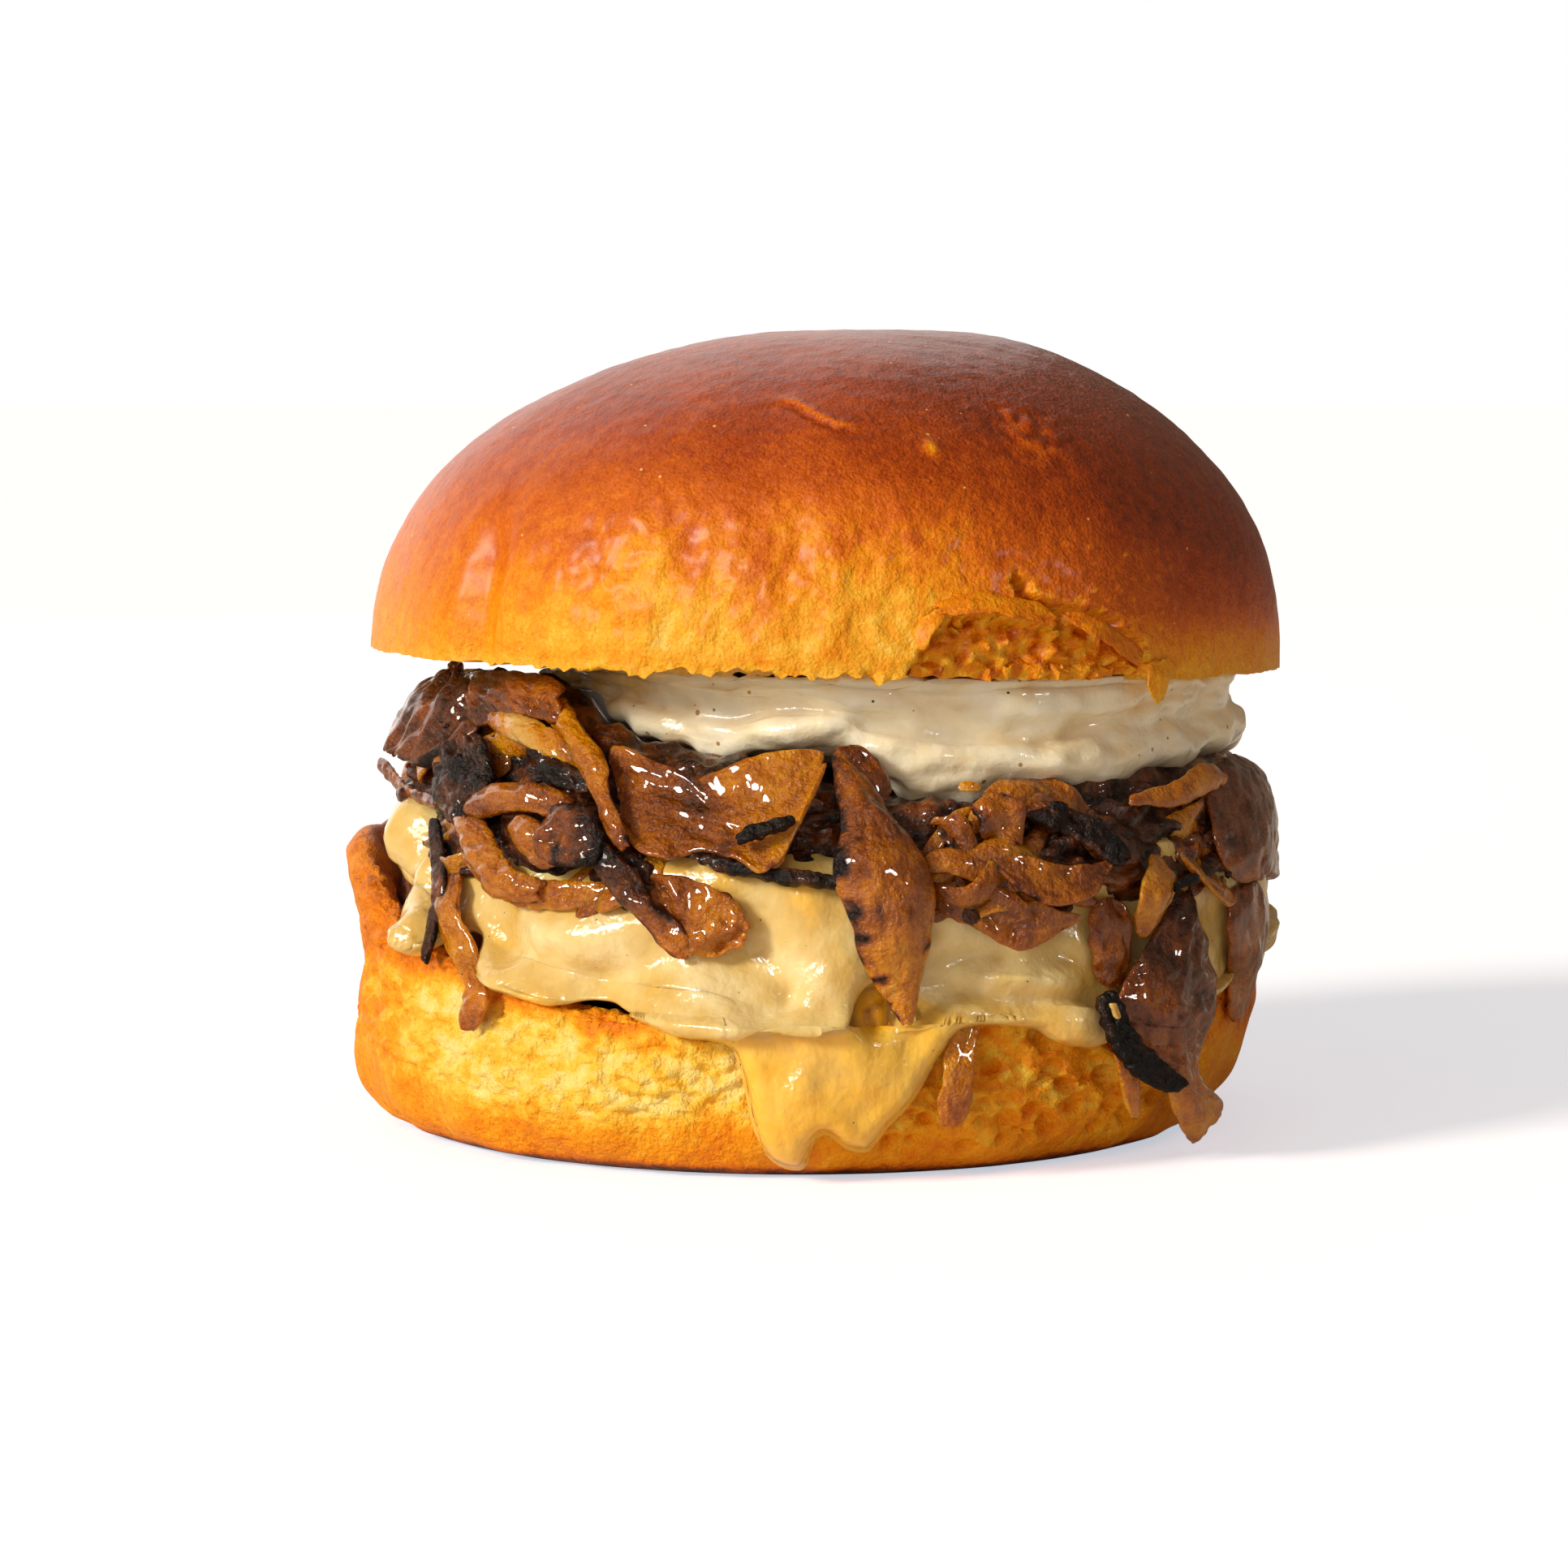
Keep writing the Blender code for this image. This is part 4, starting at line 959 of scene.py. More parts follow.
def mayo_column(angle):
    hem = edge_height(MAYO_EDGE, angle)
    edge = mayo_edge(angle)
    keys = [Vector((0.0, MAYO_UNDERSIDE)), Vector((26 * MM, MAYO_UNDERSIDE))]
    bulges = ((0.0, -3.4), (0.06, -0.4), (0.22, 1.2), (0.42, 0.9), (0.56, 0.2), (0.75, 1.0), (0.9, 0.6))
    for share, bulge in bulges:
        level = blend(hem, CROWN_UNDERSIDE, share)
        keys.append(Vector((edge + bulge * MM + 0.7 * MM * uneven(angle, level, 3.0, 71), level)))
    keys += [Vector((edge - 2 * MM, CROWN_UNDERSIDE + 0.2 * MM)), Vector((0.0, CROWN_UNDERSIDE + 0.2 * MM))]
    counts = (5, 5, 6, 12, 14, 10, 12, 10, 6, 5)
    return [polar(MAYO_CENTRE, angle, r, h) for r, h in curve_points(keys, counts)]


def mayo_depth(point):
    angle, height = turn_of(point, MAYO_CENTRE), point.z
    side = smooth_step(36 * MM, 40 * MM, math.hypot(point.x - MAYO_CENTRE[0], point.y - MAYO_CENTRE[1]))
    crease = bell(height, edge_height(MAYO_CREASE, angle), 0.9 * MM) * (0.35 + 0.65 * hump(angle, -50, 30))
    waves = 0.95 * lumps(point, 9 * MM, 73, 0.5) + 0.4 * lumps(point, 3.6 * MM, 74, 0.6)
    return (waves - 0.9 * crease + 0.05 * lumps(point, 1.2 * MM, 75)) * MM * side


def mayo_tone(point):
    angle, height = turn_of(point, MAYO_CENTRE), point.z
    oily = bell(angle, -135, 14) * smooth_step(48 * MM, 54 * MM, height)
    # Painted shade: the crease between the two folds is made darker and browner.
    crease = bell(height, edge_height(MAYO_CREASE, angle), 0.8 * MM) * hump(angle, -50, 30)
    warmth_and_shade = 0.22 + 0.16 * lumps(point, 5 * MM, 76, 0.6) + 0.35 * oily + 0.25 * crease
    # Painted shade: a darker band all round where the mayonnaise meets the crown's underside.
    return clamp(warmth_and_shade + 0.2 * bell(height, CROWN_UNDERSIDE, 2 * MM))


MAYO_COLOURS = (
    (0.0, (0.95, 0.89, 0.74)),
    (0.35, (0.93, 0.80, 0.55)),
    (0.7, (0.82, 0.56, 0.24)),
    (1.0, (0.55, 0.28, 0.07)),
)


# The fried onions


# The height above which the skin that the onions lie on leans in, and how near the middle it may come.
SKIN_SHOULDER = 31 * MM
SKIN_CORE = 8 * MM


def skin_radius(angle, height):
    """Outer radius of the cheese and the heel, carried on upwards to the crown. Hanging onions lie on it."""
    if height < cheese_hem(angle) and height < heel_rim(angle):
        return heel_radius(angle, height) + HEEL_CENTRE[0] * math.cos(math.radians(angle))
    low = cheese_radius(angle, min(height, SKIN_SHOULDER))
    return min(low, 54 * MM) - 0.38 * max(height - SKIN_SHOULDER, 0)


def on_skin(x, height, stand):
    """The point at this x and height that stands off the front of the burger by this much."""
    radius = 54 * MM
    for _ in range(5):
        y = -math.sqrt(max(radius**2 - x**2, SKIN_CORE**2))
        radius = skin_radius(math.degrees(math.atan2(y, x)), height) + stand
    return Vector((x, y, height))


def onion_hem(angle):
    """Height of the heap's lower edge, where the onions slump over the cheese."""
    hem = 32.5 + 2.0 * uneven(angle, 0, 3.0, 131)
    hem += 3.5 * hump(angle, -100, 10) - 2.5 * hump(angle, -62, 16) + 8.0 * hump(angle, 177, 28)
    hem -= 3.5 * hump(angle, -8, 22)
    return hem * MM


def onion_crest(angle):
    """Height of the heap's upper outer edge: up to the crown at the left, under the mayonnaise elsewhere."""
    crest = 45.5 + 9.0 * hump(angle, -163, 40) + 5.0 * hump(angle, 120, 30) + 1.5 * hump(angle, 10, 30)
    return (crest + 3.0 * hump(angle, -138, 11) - 3.4 * hump(angle, -74, 20, 4)) * MM


def onion_swell(angle):
    return 0.8 + 0.5 * hump(angle, -5, 35) + 0.2 * hump(angle, -150, 30)


def core_column(angle):
    hem, crest = onion_hem(angle), onion_crest(angle)
    keys = [Vector((0.0, 39.5 * MM)), Vector((44 * MM, 39.5 * MM))]
    for share, stand in ((0.06, -4.0), (0.0, 0.4), (0.3, 1.5), (0.62, 1.0), (0.9, -0.2), (1.0, -3.6)):
        level = blend(hem, crest, share)
        lump = 1.0 * MM * uneven(angle, level, 6.5, 121)
        keys.append(Vector((skin_radius(angle, level) + stand * MM * onion_swell(angle) + lump, level)))
    keys += [Vector((34 * MM, min(crest, 47 * MM))), Vector((0.0, 46 * MM))]
    return [polar((0, 0), angle, r, h) for r, h in curve_points(keys, (4, 4, 8, 14, 14, 12, 8, 6, 4))]


# The right of the core, where it is smoother and paler, as the centre, half width and flatness of a hump.
CORE_SMOOTH_SPAN = (-8, 26, 4)


def core_depth(point):
    side = smooth_step(38 * MM, 44 * MM, math.hypot(point.x, point.y))
    strands = abs(lumps(point, 4.5 * MM, 123, 0.45)) - 0.35
    rough = 1 - 0.75 * hump(turn_of(point), *CORE_SMOOTH_SPAN)
    return (1.3 * strands + 0.5 * rough * lumps(point, 1.8 * MM, 124, 0.6)) * MM * side * (0.4 + 0.6 * rough)


def core_tone(point):
    smooth = 0.12 * hump(turn_of(point), *CORE_SMOOTH_SPAN)
    tone = 0.22 + smooth + 0.16 * lumps(point, 5 * MM, 125, 0.5)
    return clamp(tone + 0.08 * lumps(point, 1.5 * MM, 126, 0.6))


# Charred, dark, red-brown, amber, golden and pale onion.
ONION_COLOURS = (
    (0.0, (0.003, 0.002, 0.002)),
    (0.12, (0.018, 0.005, 0.001)),
    (0.26, (0.095, 0.020, 0.0)),
    (0.40, (0.27, 0.060, 0.0)),
    (0.55, (0.52, 0.150, 0.0)),
    (0.72, (0.76, 0.27, 0.0)),
    (1.0, (0.85, 0.52, 0.14)),
)

# The pieces at the front: name, cup, worn edge in mm, crumpling in mm, how charred its two edges are, and
# tones from end to end. Then come its two edges, as points of (x, height, stand off the layers behind) in mm.
PETALS = (
    ("awning", -0.1, 0.4, 0.3, (0.05, 0.15), (0.46, 0.42, 0.3, 0.52, 0.62, 0.58), (
        (-25.2, 49.2, 1.5), (-22.3, 48.1, 2.6), (-16.9, 45.8, 2.2), (-13.9, 45, 1.4), (-10.2, 46.9, 2.4),
        (-6.2, 48.2, 2.8), (-0.7, 48.7, 2),
    ), (
        (-22.6, 37, 4.4), (-18.6, 36.4, 5.2), (-14.1, 37.1, 3.6), (-10.1, 36.6, 5), (-7.4, 35.4, 5.6),
        (-4.2, 37.9, 5.2), (-0.2, 46.1, 4),
    )),
    ("tongue", 0.45, 0.35, 0.42, (0.5, 0.05), (0.46, 0.4, 0.38, 0.46, 0.56, 0.66, 0.72, 0.66), (
        (-0.2, 47.7, 1), (0.9, 43.8, 2.6), (1.4, 39.9, 4), (0.6, 34.7, 4.6), (2.3, 30, 3.6),
        (4.2, 24.5, 2.6), (6.3, 21.1, 2.2), (8.2, 18.2, 2.4),
    ), (
        (2.3, 47.3, 0.6), (5.6, 43.3, 2.2), (8.6, 39.3, 3.4), (10.9, 36.1, 3.6), (11.8, 32.1, 3),
        (11.2, 27.2, 2.4), (10.3, 23.5, 2.2), (9.2, 18.3, 2.4),
    )),
    ("beside", 0.3, 0.4, 0.5, (0.2, 0.2), (0.36, 0.32, 0.34), (
        (0, 48.2, 1), (2.9, 44.5, 1.4), (6.1, 42.1, 1.2),
    ), (
        (3.8, 48.6, 0.8), (6.3, 46.2, 1), (7, 43.3, 0.8),
    )),
    ("smile", -0.15, 0.3, 0.3, (0.0, 0.25), (0.4, 0.46, 0.46, 0.36), (
        (16.8, 37.5, 2.8), (22.2, 36.4, 3.4), (27.9, 35.2, 3.4), (32.1, 35.8, 2.6),
    ), (
        (16.8, 36.9, 2.8), (21.6, 32.7, 4), (25.5, 31, 4.2), (29.8, 31.9, 3.8), (32.3, 35.1, 2.8),
    )),
    ("flat_high", 0.2, 0.4, 0.4, (0.0, 0.1), (0.5, 0.5, 0.42), (
        (10.7, 37.1, 2.2), (14.3, 37.4, 2.6), (18.6, 36.1, 2.4),
    ), (
        (10.9, 34.9, 2.2), (15.2, 34.1, 2.6), (18.9, 32.5, 2.4),
    )),
    ("flat_low", 0.15, 0.6, 0.8, (0.1, 0.1), (0.4, 0.5, 0.46, 0.54), (
        (11.4, 34.1, 1.6), (17, 33.7, 2.2), (22.4, 31.8, 2.6), (28.1, 29.9, 2.2),
    ), (
        (12.3, 30.1, 1.4), (16.1, 28.8, 1.8), (21.7, 26.2, 2), (27.7, 28.4, 2),
    )),
    ("right", 0.3, 0.45, 0.5, (0.0, 0.0), (0.2, 0.26, 0.35, 0.38, 0.44, 0.58, 0.68, 0.64), (
        (39.1, 31.2, 1), (36.2, 26.1, 2), (33.1, 21.5, 2.8), (33.2, 17.8, 3.2), (35.4, 14.7, 3.6),
        (37.8, 10.3, 4.6), (39.9, 4.8, 5.6), (41.8, 1.4, 6),
    ), (
        (41.6, 30.9, 0.6), (43.7, 25, 1.2), (44.7, 19.5, 1.6), (43.7, 14.6, 2.4), (42.1, 12.5, 3.4),
        (42.9, 8.8, 4.4), (45.4, 5.4, 5.4), (42.9, 1.2, 6),
    )),
    ("fibres", 0.2, 0.5, 0.9, (0.1, 0.1), (0.42, 0.38, 0.46), (
        (29.1, 30.9, 0.8), (29.4, 25.7, 1.2), (30.9, 21.2, 1.2),
    ), (
        (33.5, 31.3, 0.8), (34, 26.1, 1), (33.2, 20.8, 1),
    )),
    ("band", 0.3, 0.4, 0.4, (0.2, 0.1), (0.24, 0.38, 0.42), (
        (-44.6, 53.8, 1.5), (-37.5, 55.4, 2.5), (-30, 55.2, 2.5),
    ), (
        (-42.2, 48.3, 2.6), (-35.2, 50.8, 3.4), (-29.8, 49.9, 3.2),
    )),
    ("top_left", 0.3, 0.8, 0.8, (0.45, 0.4), (0.22, 0.28, 0.34), (
        (-46.2, 53.8, 1.2), (-50.1, 49.9, 2), (-53.5, 45, 2.4),
    ), (
        (-39.1, 53.4, 2.2), (-41.4, 48.2, 3.4), (-46.6, 43.3, 3.2),
    )),
    ("clump_low", 0.15, 0.6, 1.1, (0.2, 0.0), (0.38, 0.5, 0.58, 0.52), (
        (-19.7, 35.1, 2.2), (-15.1, 34.2, 2.8), (-10.7, 32.6, 2.6), (-8.7, 29.9, 2),
    ), (
        (-19.1, 29.8, 2.2), (-16.7, 26.8, 2.8), (-13.3, 25.6, 3), (-9, 26.7, 2.4),
    )),
    ("mass", 0.2, 0.2, 0.35, (0.0, 0.0), (0.28, 0.32, 0.34, 0.42), (
        (43.0, 44.0, 1.5), (44.0, 39.5, 2.4), (45.0, 34.5, 2.4), (47.5, 30.5, 1.4),
    ), (
        (48.5, 45.0, 1.8), (52.0, 42, 2.8), (53.6, 37, 2.8), (52.8, 31.5, 1.8),
    )),
    ("rim_fall", 0.2, 0.3, 0.35, (0.0, 0.0), (0.36, 0.42, 0.46, 0.5), (
        (45.5, 30.0, 0.6), (46.3, 24.0, 1.0), (46.6, 19.0, 1.0), (46.8, 14.5, 0.9),
    ), (
        (50.8, 31.5, 0.6), (51.8, 26.0, 1.2), (51.0, 20.0, 1.2), (48.6, 14.0, 1.0),
    )),
)
STRIPS = (
    ("upright", 0.35, 0.25, 0.3, (0.0, 0.35), (0.66, 0.7, 0.6, 0.5, 0.44, 0.4), (
        (-32.7, 52.2, 1.4), (-31.4, 50.3, 2.6), (-28.4, 46.3, 4.4), (-25.8, 42.6, 5.4), (-24.7, 39.5, 5.6),
        (-22.9, 37, 5.2),
    ), (
        (-29.4, 53, 1.4), (-27.7, 50, 2.8), (-24.8, 47, 4.6), (-24.1, 43.3, 5.6), (-22.4, 39.3, 5.8),
        (-21.5, 37.6, 5.4),
    )),
    ("diagonal", 0.25, 0.5, 0.7, (0.6, 0.25), (0.1, 0.22, 0.36, 0.46, 0.5), (
        (-27.7, 37.3, 5.2), (-24.9, 33.5, 4.6), (-21.8, 30.1, 3.8), (-18, 26.6, 2.8), (-16.2, 25.2, 2.4),
    ), (
        (-24.6, 38.7, 5.2), (-21.4, 34.5, 4.8), (-18.7, 31.3, 4), (-15.6, 28.5, 3), (-14.4, 26.5, 2.4),
    )),
    ("clump", 0.3, 0.7, 1.0, (0.15, 0.6), (0.42, 0.36, 0.08), (
        (-31.9, 40.5, 4.8), (-28.8, 42, 5.8), (-25.1, 41, 5.6),
    ), (
        (-32.9, 36, 4.4), (-28.7, 34.7, 5.4), (-24.3, 36.1, 5.2),
    )),
    ("loop_high", 0.5, 0.4, 0.5, (0.1, 0.1), (0.44, 0.5, 0.4), (
        (-41.5, 40.5, 2.6), (-37.7, 43, 3.8), (-32.5, 43.7, 4.2), (-28.1, 42.4, 3.8),
    ), (
        (-39.9, 38.5, 3), (-36.1, 40.3, 4.2), (-31.9, 40.5, 4.4), (-28.4, 39.9, 3.8),
    )),
    ("loop_left", 0.5, 0.4, 0.5, (0.1, 0.0), (0.44, 0.58, 0.6, 0.54), (
        (-42.6, 38.2, 2.4), (-40.6, 33.6, 3.2), (-37.3, 31, 3.2), (-32.3, 30.9, 2.6),
    ), (
        (-38.4, 39.1, 3.6), (-37, 36, 4.2), (-34.6, 34, 4), (-31.4, 33.3, 3.2),
    )),
    ("loop_middle", 0.5, 0.4, 0.5, (0.1, 0.1), (0.5, 0.56, 0.46), (
        (-36.4, 38.8, 3.8), (-34.7, 36.4, 4.2), (-31.8, 34.2, 3.8),
    ), (
        (-33.1, 40.3, 4), (-30.9, 38.3, 4.4), (-28.4, 35.5, 4),
    )),
    ("pad", 0.2, 0.4, 0.4, (0.0, 0.0), (0.54, 0.6, 0.56), (
        (-38.5, 31.7, 1.8), (-30.7, 33.2, 2.4), (-23, 33.1, 1.8),
    ), (
        (-34.6, 29.8, 1.4), (-28.8, 30.1, 1.8), (-23.5, 30.9, 1.4),
    )),
    ("pale", 0.2, 0.3, 0.3, (0.0, 0.1), (0.5, 0.88, 0.62, 0.42), (
        (-39, 51, 3), (-35.1, 51, 3.8), (-30.2, 49.3, 3.6), (-27.1, 47.4, 3.2),
    ), (
        (-39, 49, 3.2), (-34, 47.6, 4), (-29.1, 46, 3.8), (-26.9, 45, 3.2),
    )),
    ("strand", 0.1, 0.2, 0.2, (0.3, 0.3), (0.08, 0.3, 0.32, 0.06), (
        (-46.5, 38.3, 2.4), (-45.6, 30.8, 2.2), (-45.9, 27.7, 2.2), (-46.6, 22.7, 2.6),
    ), (
        (-44.9, 38.5, 2.4), (-43.8, 31.5, 2.2), (-44.3, 28, 2.2), (-45.6, 22.5, 2.6),
    )),
    ("tail", 0.2, 0.4, 0.5, (0.1, 0.2), (0.38, 0.58, 0.66, 0.62, 0.62, 0.48), (
        (-44.4, 33.1, 2), (-45, 28.2, 2.2), (-43.3, 24.2, 2), (-41.4, 20.8, 2), (-41.7, 18.3, 1.8),
        (-41.9, 15.6, 1.6),
    ), (
        (-42.3, 33.2, 2), (-42.3, 29.1, 2.2), (-40.4, 25.6, 2), (-38.9, 21.7, 2), (-38.2, 19.5, 1.8),
        (-39.7, 15.7, 1.6),
    )),
    ("fall", 0.2, 0.7, 0.9, (0.6, 0.5), (0.22, 0.12, 0.26), (
        (-45, 47.1, 2.2), (-46, 42.5, 2.8), (-44.3, 38.1, 2.8),
    ), (
        (-38.7, 48.4, 3.6), (-38.4, 43.2, 3.8), (-39.2, 38.1, 3.4),
    )),
    ("over_blob", 0.3, 0.3, 0.4, (0.2, 0.0), (0.36, 0.4, 0.34), (
        (-53.6, 44.3, 1.6), (-49.7, 41.5, 2.4), (-45.1, 40.8, 2.6),
    ), (
        (-54.2, 42.5, 1.6), (-50, 40.1, 2.4), (-45.5, 39.3, 2.6),
    )),
    ("crumbling", 0.2, 0.9, 1.2, (0.2, 0.3), (0.52, 0.46, 0.38), (
        (15.6, 42.3, 3), (17, 39.5, 3.8), (19.3, 37.5, 3.4),
    ), (
        (18.5, 44.2, 3), (21.4, 42.1, 3.8), (22.3, 38.5, 3.6),
    )),
    ("yellow", 0.3, 0.4, 0.4, (0.0, 0.0), (0.86, 0.8, 0.84), (
        (14.5, 44.5, 3.2), (15.7, 44.8, 3.6), (16.9, 44.3, 3.4),
    ), (
        (14.6, 43.5, 3.2), (15.8, 43.2, 3.6), (16.8, 43.4, 3.4),
    )),
    ("orange", 0.4, 0.4, 0.4, (0.0, 0.15), (0.46, 0.62, 0.6, 0.6), (
        (33.9, 42.2, 2.6), (38.8, 43.1, 3.2), (42.8, 45.1, 3.6), (46.1, 43.4, 3.8),
    ), (
        (34.1, 41, 2.6), (39.7, 40.5, 3.2), (43.8, 41.9, 3.6), (45.8, 42.3, 3.8),
    )),
    ("short", 0.2, 0.4, 0.4, (0.1, 0.1), (0.66, 0.7, 0.6), (
        (36.4, 35.9, 2.4), (35, 31.8, 2.8), (34.6, 27, 2),
    ), (
        (37.7, 35.4, 2.4), (39.3, 32.6, 2.6), (38.6, 29.7, 2.4), (35.8, 26.1, 1.8),
    )),
    ("low", 0.1, 0.3, 0.3, (0.0, 0.0), (0.56, 0.66, 0.72), (
        (31.4, 16.9, 2.2), (32.5, 12.1, 3), (34, 5.8, 3.4),
    ), (
        (33, 16.9, 2.2), (35, 11.9, 3), (35.5, 5.9, 3.4),
    )),
    ("under", 0.2, 0.3, 0.4, (0.0, 0.0), (0.62, 0.68, 0.6), (
        (-9.2, 37.3, 3.6), (-6.7, 38, 4.2), (-4.4, 38.5, 4),
    ), (
        (-8.5, 35.5, 3.4), (-6.4, 34.9, 4), (-4.6, 36.4, 3.8),
    )),
    ("cream_bit", 0.2, 0.2, 0.2, (0.0, 0.0), (0.95, 0.98, 0.9), (
        (31.2, 19.9, 5.4), (31.7, 19, 5.6), (32.1, 18.1, 5.5),
    ), (
        (31.9, 20.1, 5.4), (32.3, 19.3, 5.6), (32.5, 18.4, 5.5),
    )),
)
BURNT = (
    ("stick", 0.0, 0.08, 0.12, (0.0, 0.0), (0.03, 0.02, 0.0, 0.02), (
        (29.8, 20.7, 3.8), (31.5, 15.7, 4.6), (34.5, 11.4, 5.6), (38.8, 8.7, 6.4),
    ), (
        (32.2, 21.3, 3.8), (34.1, 16.8, 4.6), (37.2, 13.1, 5.6), (40.9, 10.1, 6.4),
    )),
    ("bar", 0.0, 0.4, 0.4, (0.0, 0.0), (0.14, 0.04, 0.1), (
        (-15.2, 37.1, 3), (-7.4, 35.9, 4), (1.6, 35, 4),
    ), (
        (-14.8, 35.9, 3), (-7.4, 34.3, 4), (1.6, 33.3, 4),
    )),
    ("bar_high", 0.0, 0.3, 0.3, (0.0, 0.0), (0.03, 0.02, 0.03), (
        (-10.2, 39.3, 6.2), (-7.1, 40.8, 6.8), (-3.8, 41.7, 6.4),
    ), (
        (-9.6, 38.2, 6.2), (-6.7, 39.3, 6.8), (-3.4, 40.5, 6.4),
    )),
    ("strip_left", 0.2, 0.5, 0.6, (0.2, 0.2), (0.12, 0.05, 0.14), (
        (-33.4, 45.6, 3.8), (-30, 45.9, 4.4), (-26.4, 44.4, 4.2),
    ), (
        (-33.3, 43.9, 3.8), (-29.9, 43.6, 4.4), (-26.4, 42.8, 4.2),
    )),
    ("spot", 0.2, 0.4, 0.4, (0.0, 0.0), (0.06, 0.03, 0.1), (
        (-49, 48.9, 2.8), (-46.2, 50.5, 3.4), (-44, 50.3, 3.6),
    ), (
        (-47.9, 47.6, 2.8), (-45.6, 47.7, 3.4), (-43.9, 48.6, 3.6),
    )),
    ("ridge", 0.2, 0.8, 1.0, (0.0, 0.0), (0.16, 0.08, 0.14, 0.1), (
        (22.1, 42.5, 2.2), (26.2, 41.7, 3), (29.9, 39.9, 3), (33.5, 37, 2.6),
    ), (
        (21.8, 40.1, 2.2), (25.8, 38.8, 3), (29.3, 37.2, 3), (33, 34.1, 2.6),
    )),
    ("speck", 0.2, 0.2, 0.3, (0.0, 0.0), (0.05, 0.03, 0.06), (
        (38.8, 32.1, 2.8), (40.3, 32.8, 3.2), (42, 32.8, 3),
    ), (
        (39, 31.2, 2.8), (40.5, 31.8, 3.2), (42.1, 32.1, 3),
    )),
)


# The one shred that hangs out below the cheese, as (x, height, stand off the heel) in mm.
LOW_SHRED = ((15.3, 18.4, 0.2), (14.8, 15.0, 1.4), (14.2, 11.0, 1.8), (13.8, 6.8, 1.9))


def on_heel(x, height, stand):
    """The point at this x and height that stands off the front of the heel by this much."""
    radius = heel_radius(math.degrees(math.atan2(-55 * MM, x)), height) + stand
    return Vector((x, -math.sqrt(radius**2 - (x - HEEL_CENTRE[0]) ** 2), height))


def crumpled(place, seed):
    """Creases and small wrinkles, as a height between about -1 and 1."""
    creases = 1.5 * (0.3 - abs(lumps(place, 5.0 * MM, seed)))
    creases += 1.0 * (0.3 - abs(lumps(place, 2.3 * MM, seed + 3)))
    return creases + 0.22 * lumps(place, 1.0 * MM, seed + 7)


def laid_sheet(name, edges, look, seed, fine):
    """A layer of onion laid between two edges: a grid that is then cupped, crumpled, worn and charred.

    look is its cup, worn edge, crumpling, charring of the two edges and tones, as in the tables.
    """
    cup, worn, crumple, char, tones = look
    length = sum((curve_at(edges[0], i / 8) - curve_at(edges[0], (i + 1) / 8)).length for i in range(8))
    rows = max(int(length / fine), 6)
    pairs = [(curve_at(edges[0], i / rows), curve_at(edges[1], i / rows)) for i in range(rows + 1)]
    columns = max(int(max((a - b).length for a, b in pairs) * 1.15 / fine), 3)
    start_alone()
    bpy.ops.mesh.primitive_grid_add(x_subdivisions=columns, y_subdivisions=rows, size=2.0)
    obj = named(bpy.context.object, name)
    frames = []
    for i, (a, b) in enumerate(pairs):
        ahead, behind = pairs[min(i + 1, rows)], pairs[max(i - 1, 0)]
        along = (ahead[0] + ahead[1] - behind[0] - behind[1]).normalized()
        out = (b - a).cross(along).normalized()
        if out.x * a.x + out.y * a.y < 0:
            out = -out
        frames.append(((a + b) / 2, (b - a) / 2, out, along))
    tones_round = []
    for vert in obj.data.vertices:
        u, share = vert.co.x, (vert.co.y + 1) / 2
        middle, side, out, along = frames[round(share * rows)]
        half = side.length
        place = Vector((u * half, share * length, seed * MM * 7))
        fray = noise.noise(Vector((share * length / (1.7 * MM), seed + (9 if u > 0 else 2), 0.5)))
        fray += 0.5 * noise.noise(Vector((share * length / (0.8 * MM), seed + (5 if u > 0 else 1), 3.5)))
        reach = u * (1 - 0.45 * abs(2 * share - 1) ** 10) + u * abs(u) * fray * worn * MM / half
        tip = worn * MM * abs(2 * share - 1) ** 12 * noise.noise(Vector((u * half / (0.9 * MM), seed, 8)))
        lift = cup * (1 - u * u) * half + crumple * MM * crumpled(place, seed) * min(half / (2.2 * MM), 1.1)
        vert.co = middle + side * reach + out * lift + along * tip * 1.6
        tone = value_along(tones, share) + 0.09 * lumps(place, 3.2 * MM, seed + 5)
        tone += 0.04 * math.sin(place.x / MM * 4.5 + 4 * noise.noise(place * 260)) + 0.04 * abs(u) ** 5
        burn = char[0] * clamp(-u) ** 4 + char[1] * clamp(u) ** 4 + 0.35 * max(char)
        burnt = smooth_step(0.35, 0.75, burn + 0.6 * lumps(place, 1.7 * MM, seed + 9) * min(1, burn * 3))
        tones_round.append(clamp(blend(tone, 0.03, burnt)))
    keep_tones(obj, tones_round)
    return obj


def joined_sheets(name, sheets, thickness, worn=0.0):
    """One piece from several sheets, thickened and rounded off, with its surface worn by this much."""
    obj = joined(name, sheets)
    wall = obj.modifiers.new("thickness", "SOLIDIFY")
    wall.thickness = thickness
    wall.offset = 0.0
    smooth = obj.modifiers.new("rounding", "SUBSURF")
    smooth.levels = 1
    smooth.render_levels = 1
    for modifier in ("thickness", "rounding"):
        bpy.ops.object.modifier_apply(modifier=modifier)
    if worn:
        relief(obj, lambda point: worn * lumps(point, 0.9 * MM, 3))
    shade(obj, 80)
    return obj


def named_sheets(kind, table, fine=0.75 * MM):
    """The sheets of onion that a table gives, each in a grid this fine."""
    made = []
    for i, (name, *look, one, two) in enumerate(table):
        edges = [[on_skin(x * MM, z * MM, stand * MM) for x, z, stand in edge] for edge in (one, two)]
        made.append(laid_sheet(f"{kind}_{name}", edges, look, i * 3.7 + len(kind), fine))
    return made


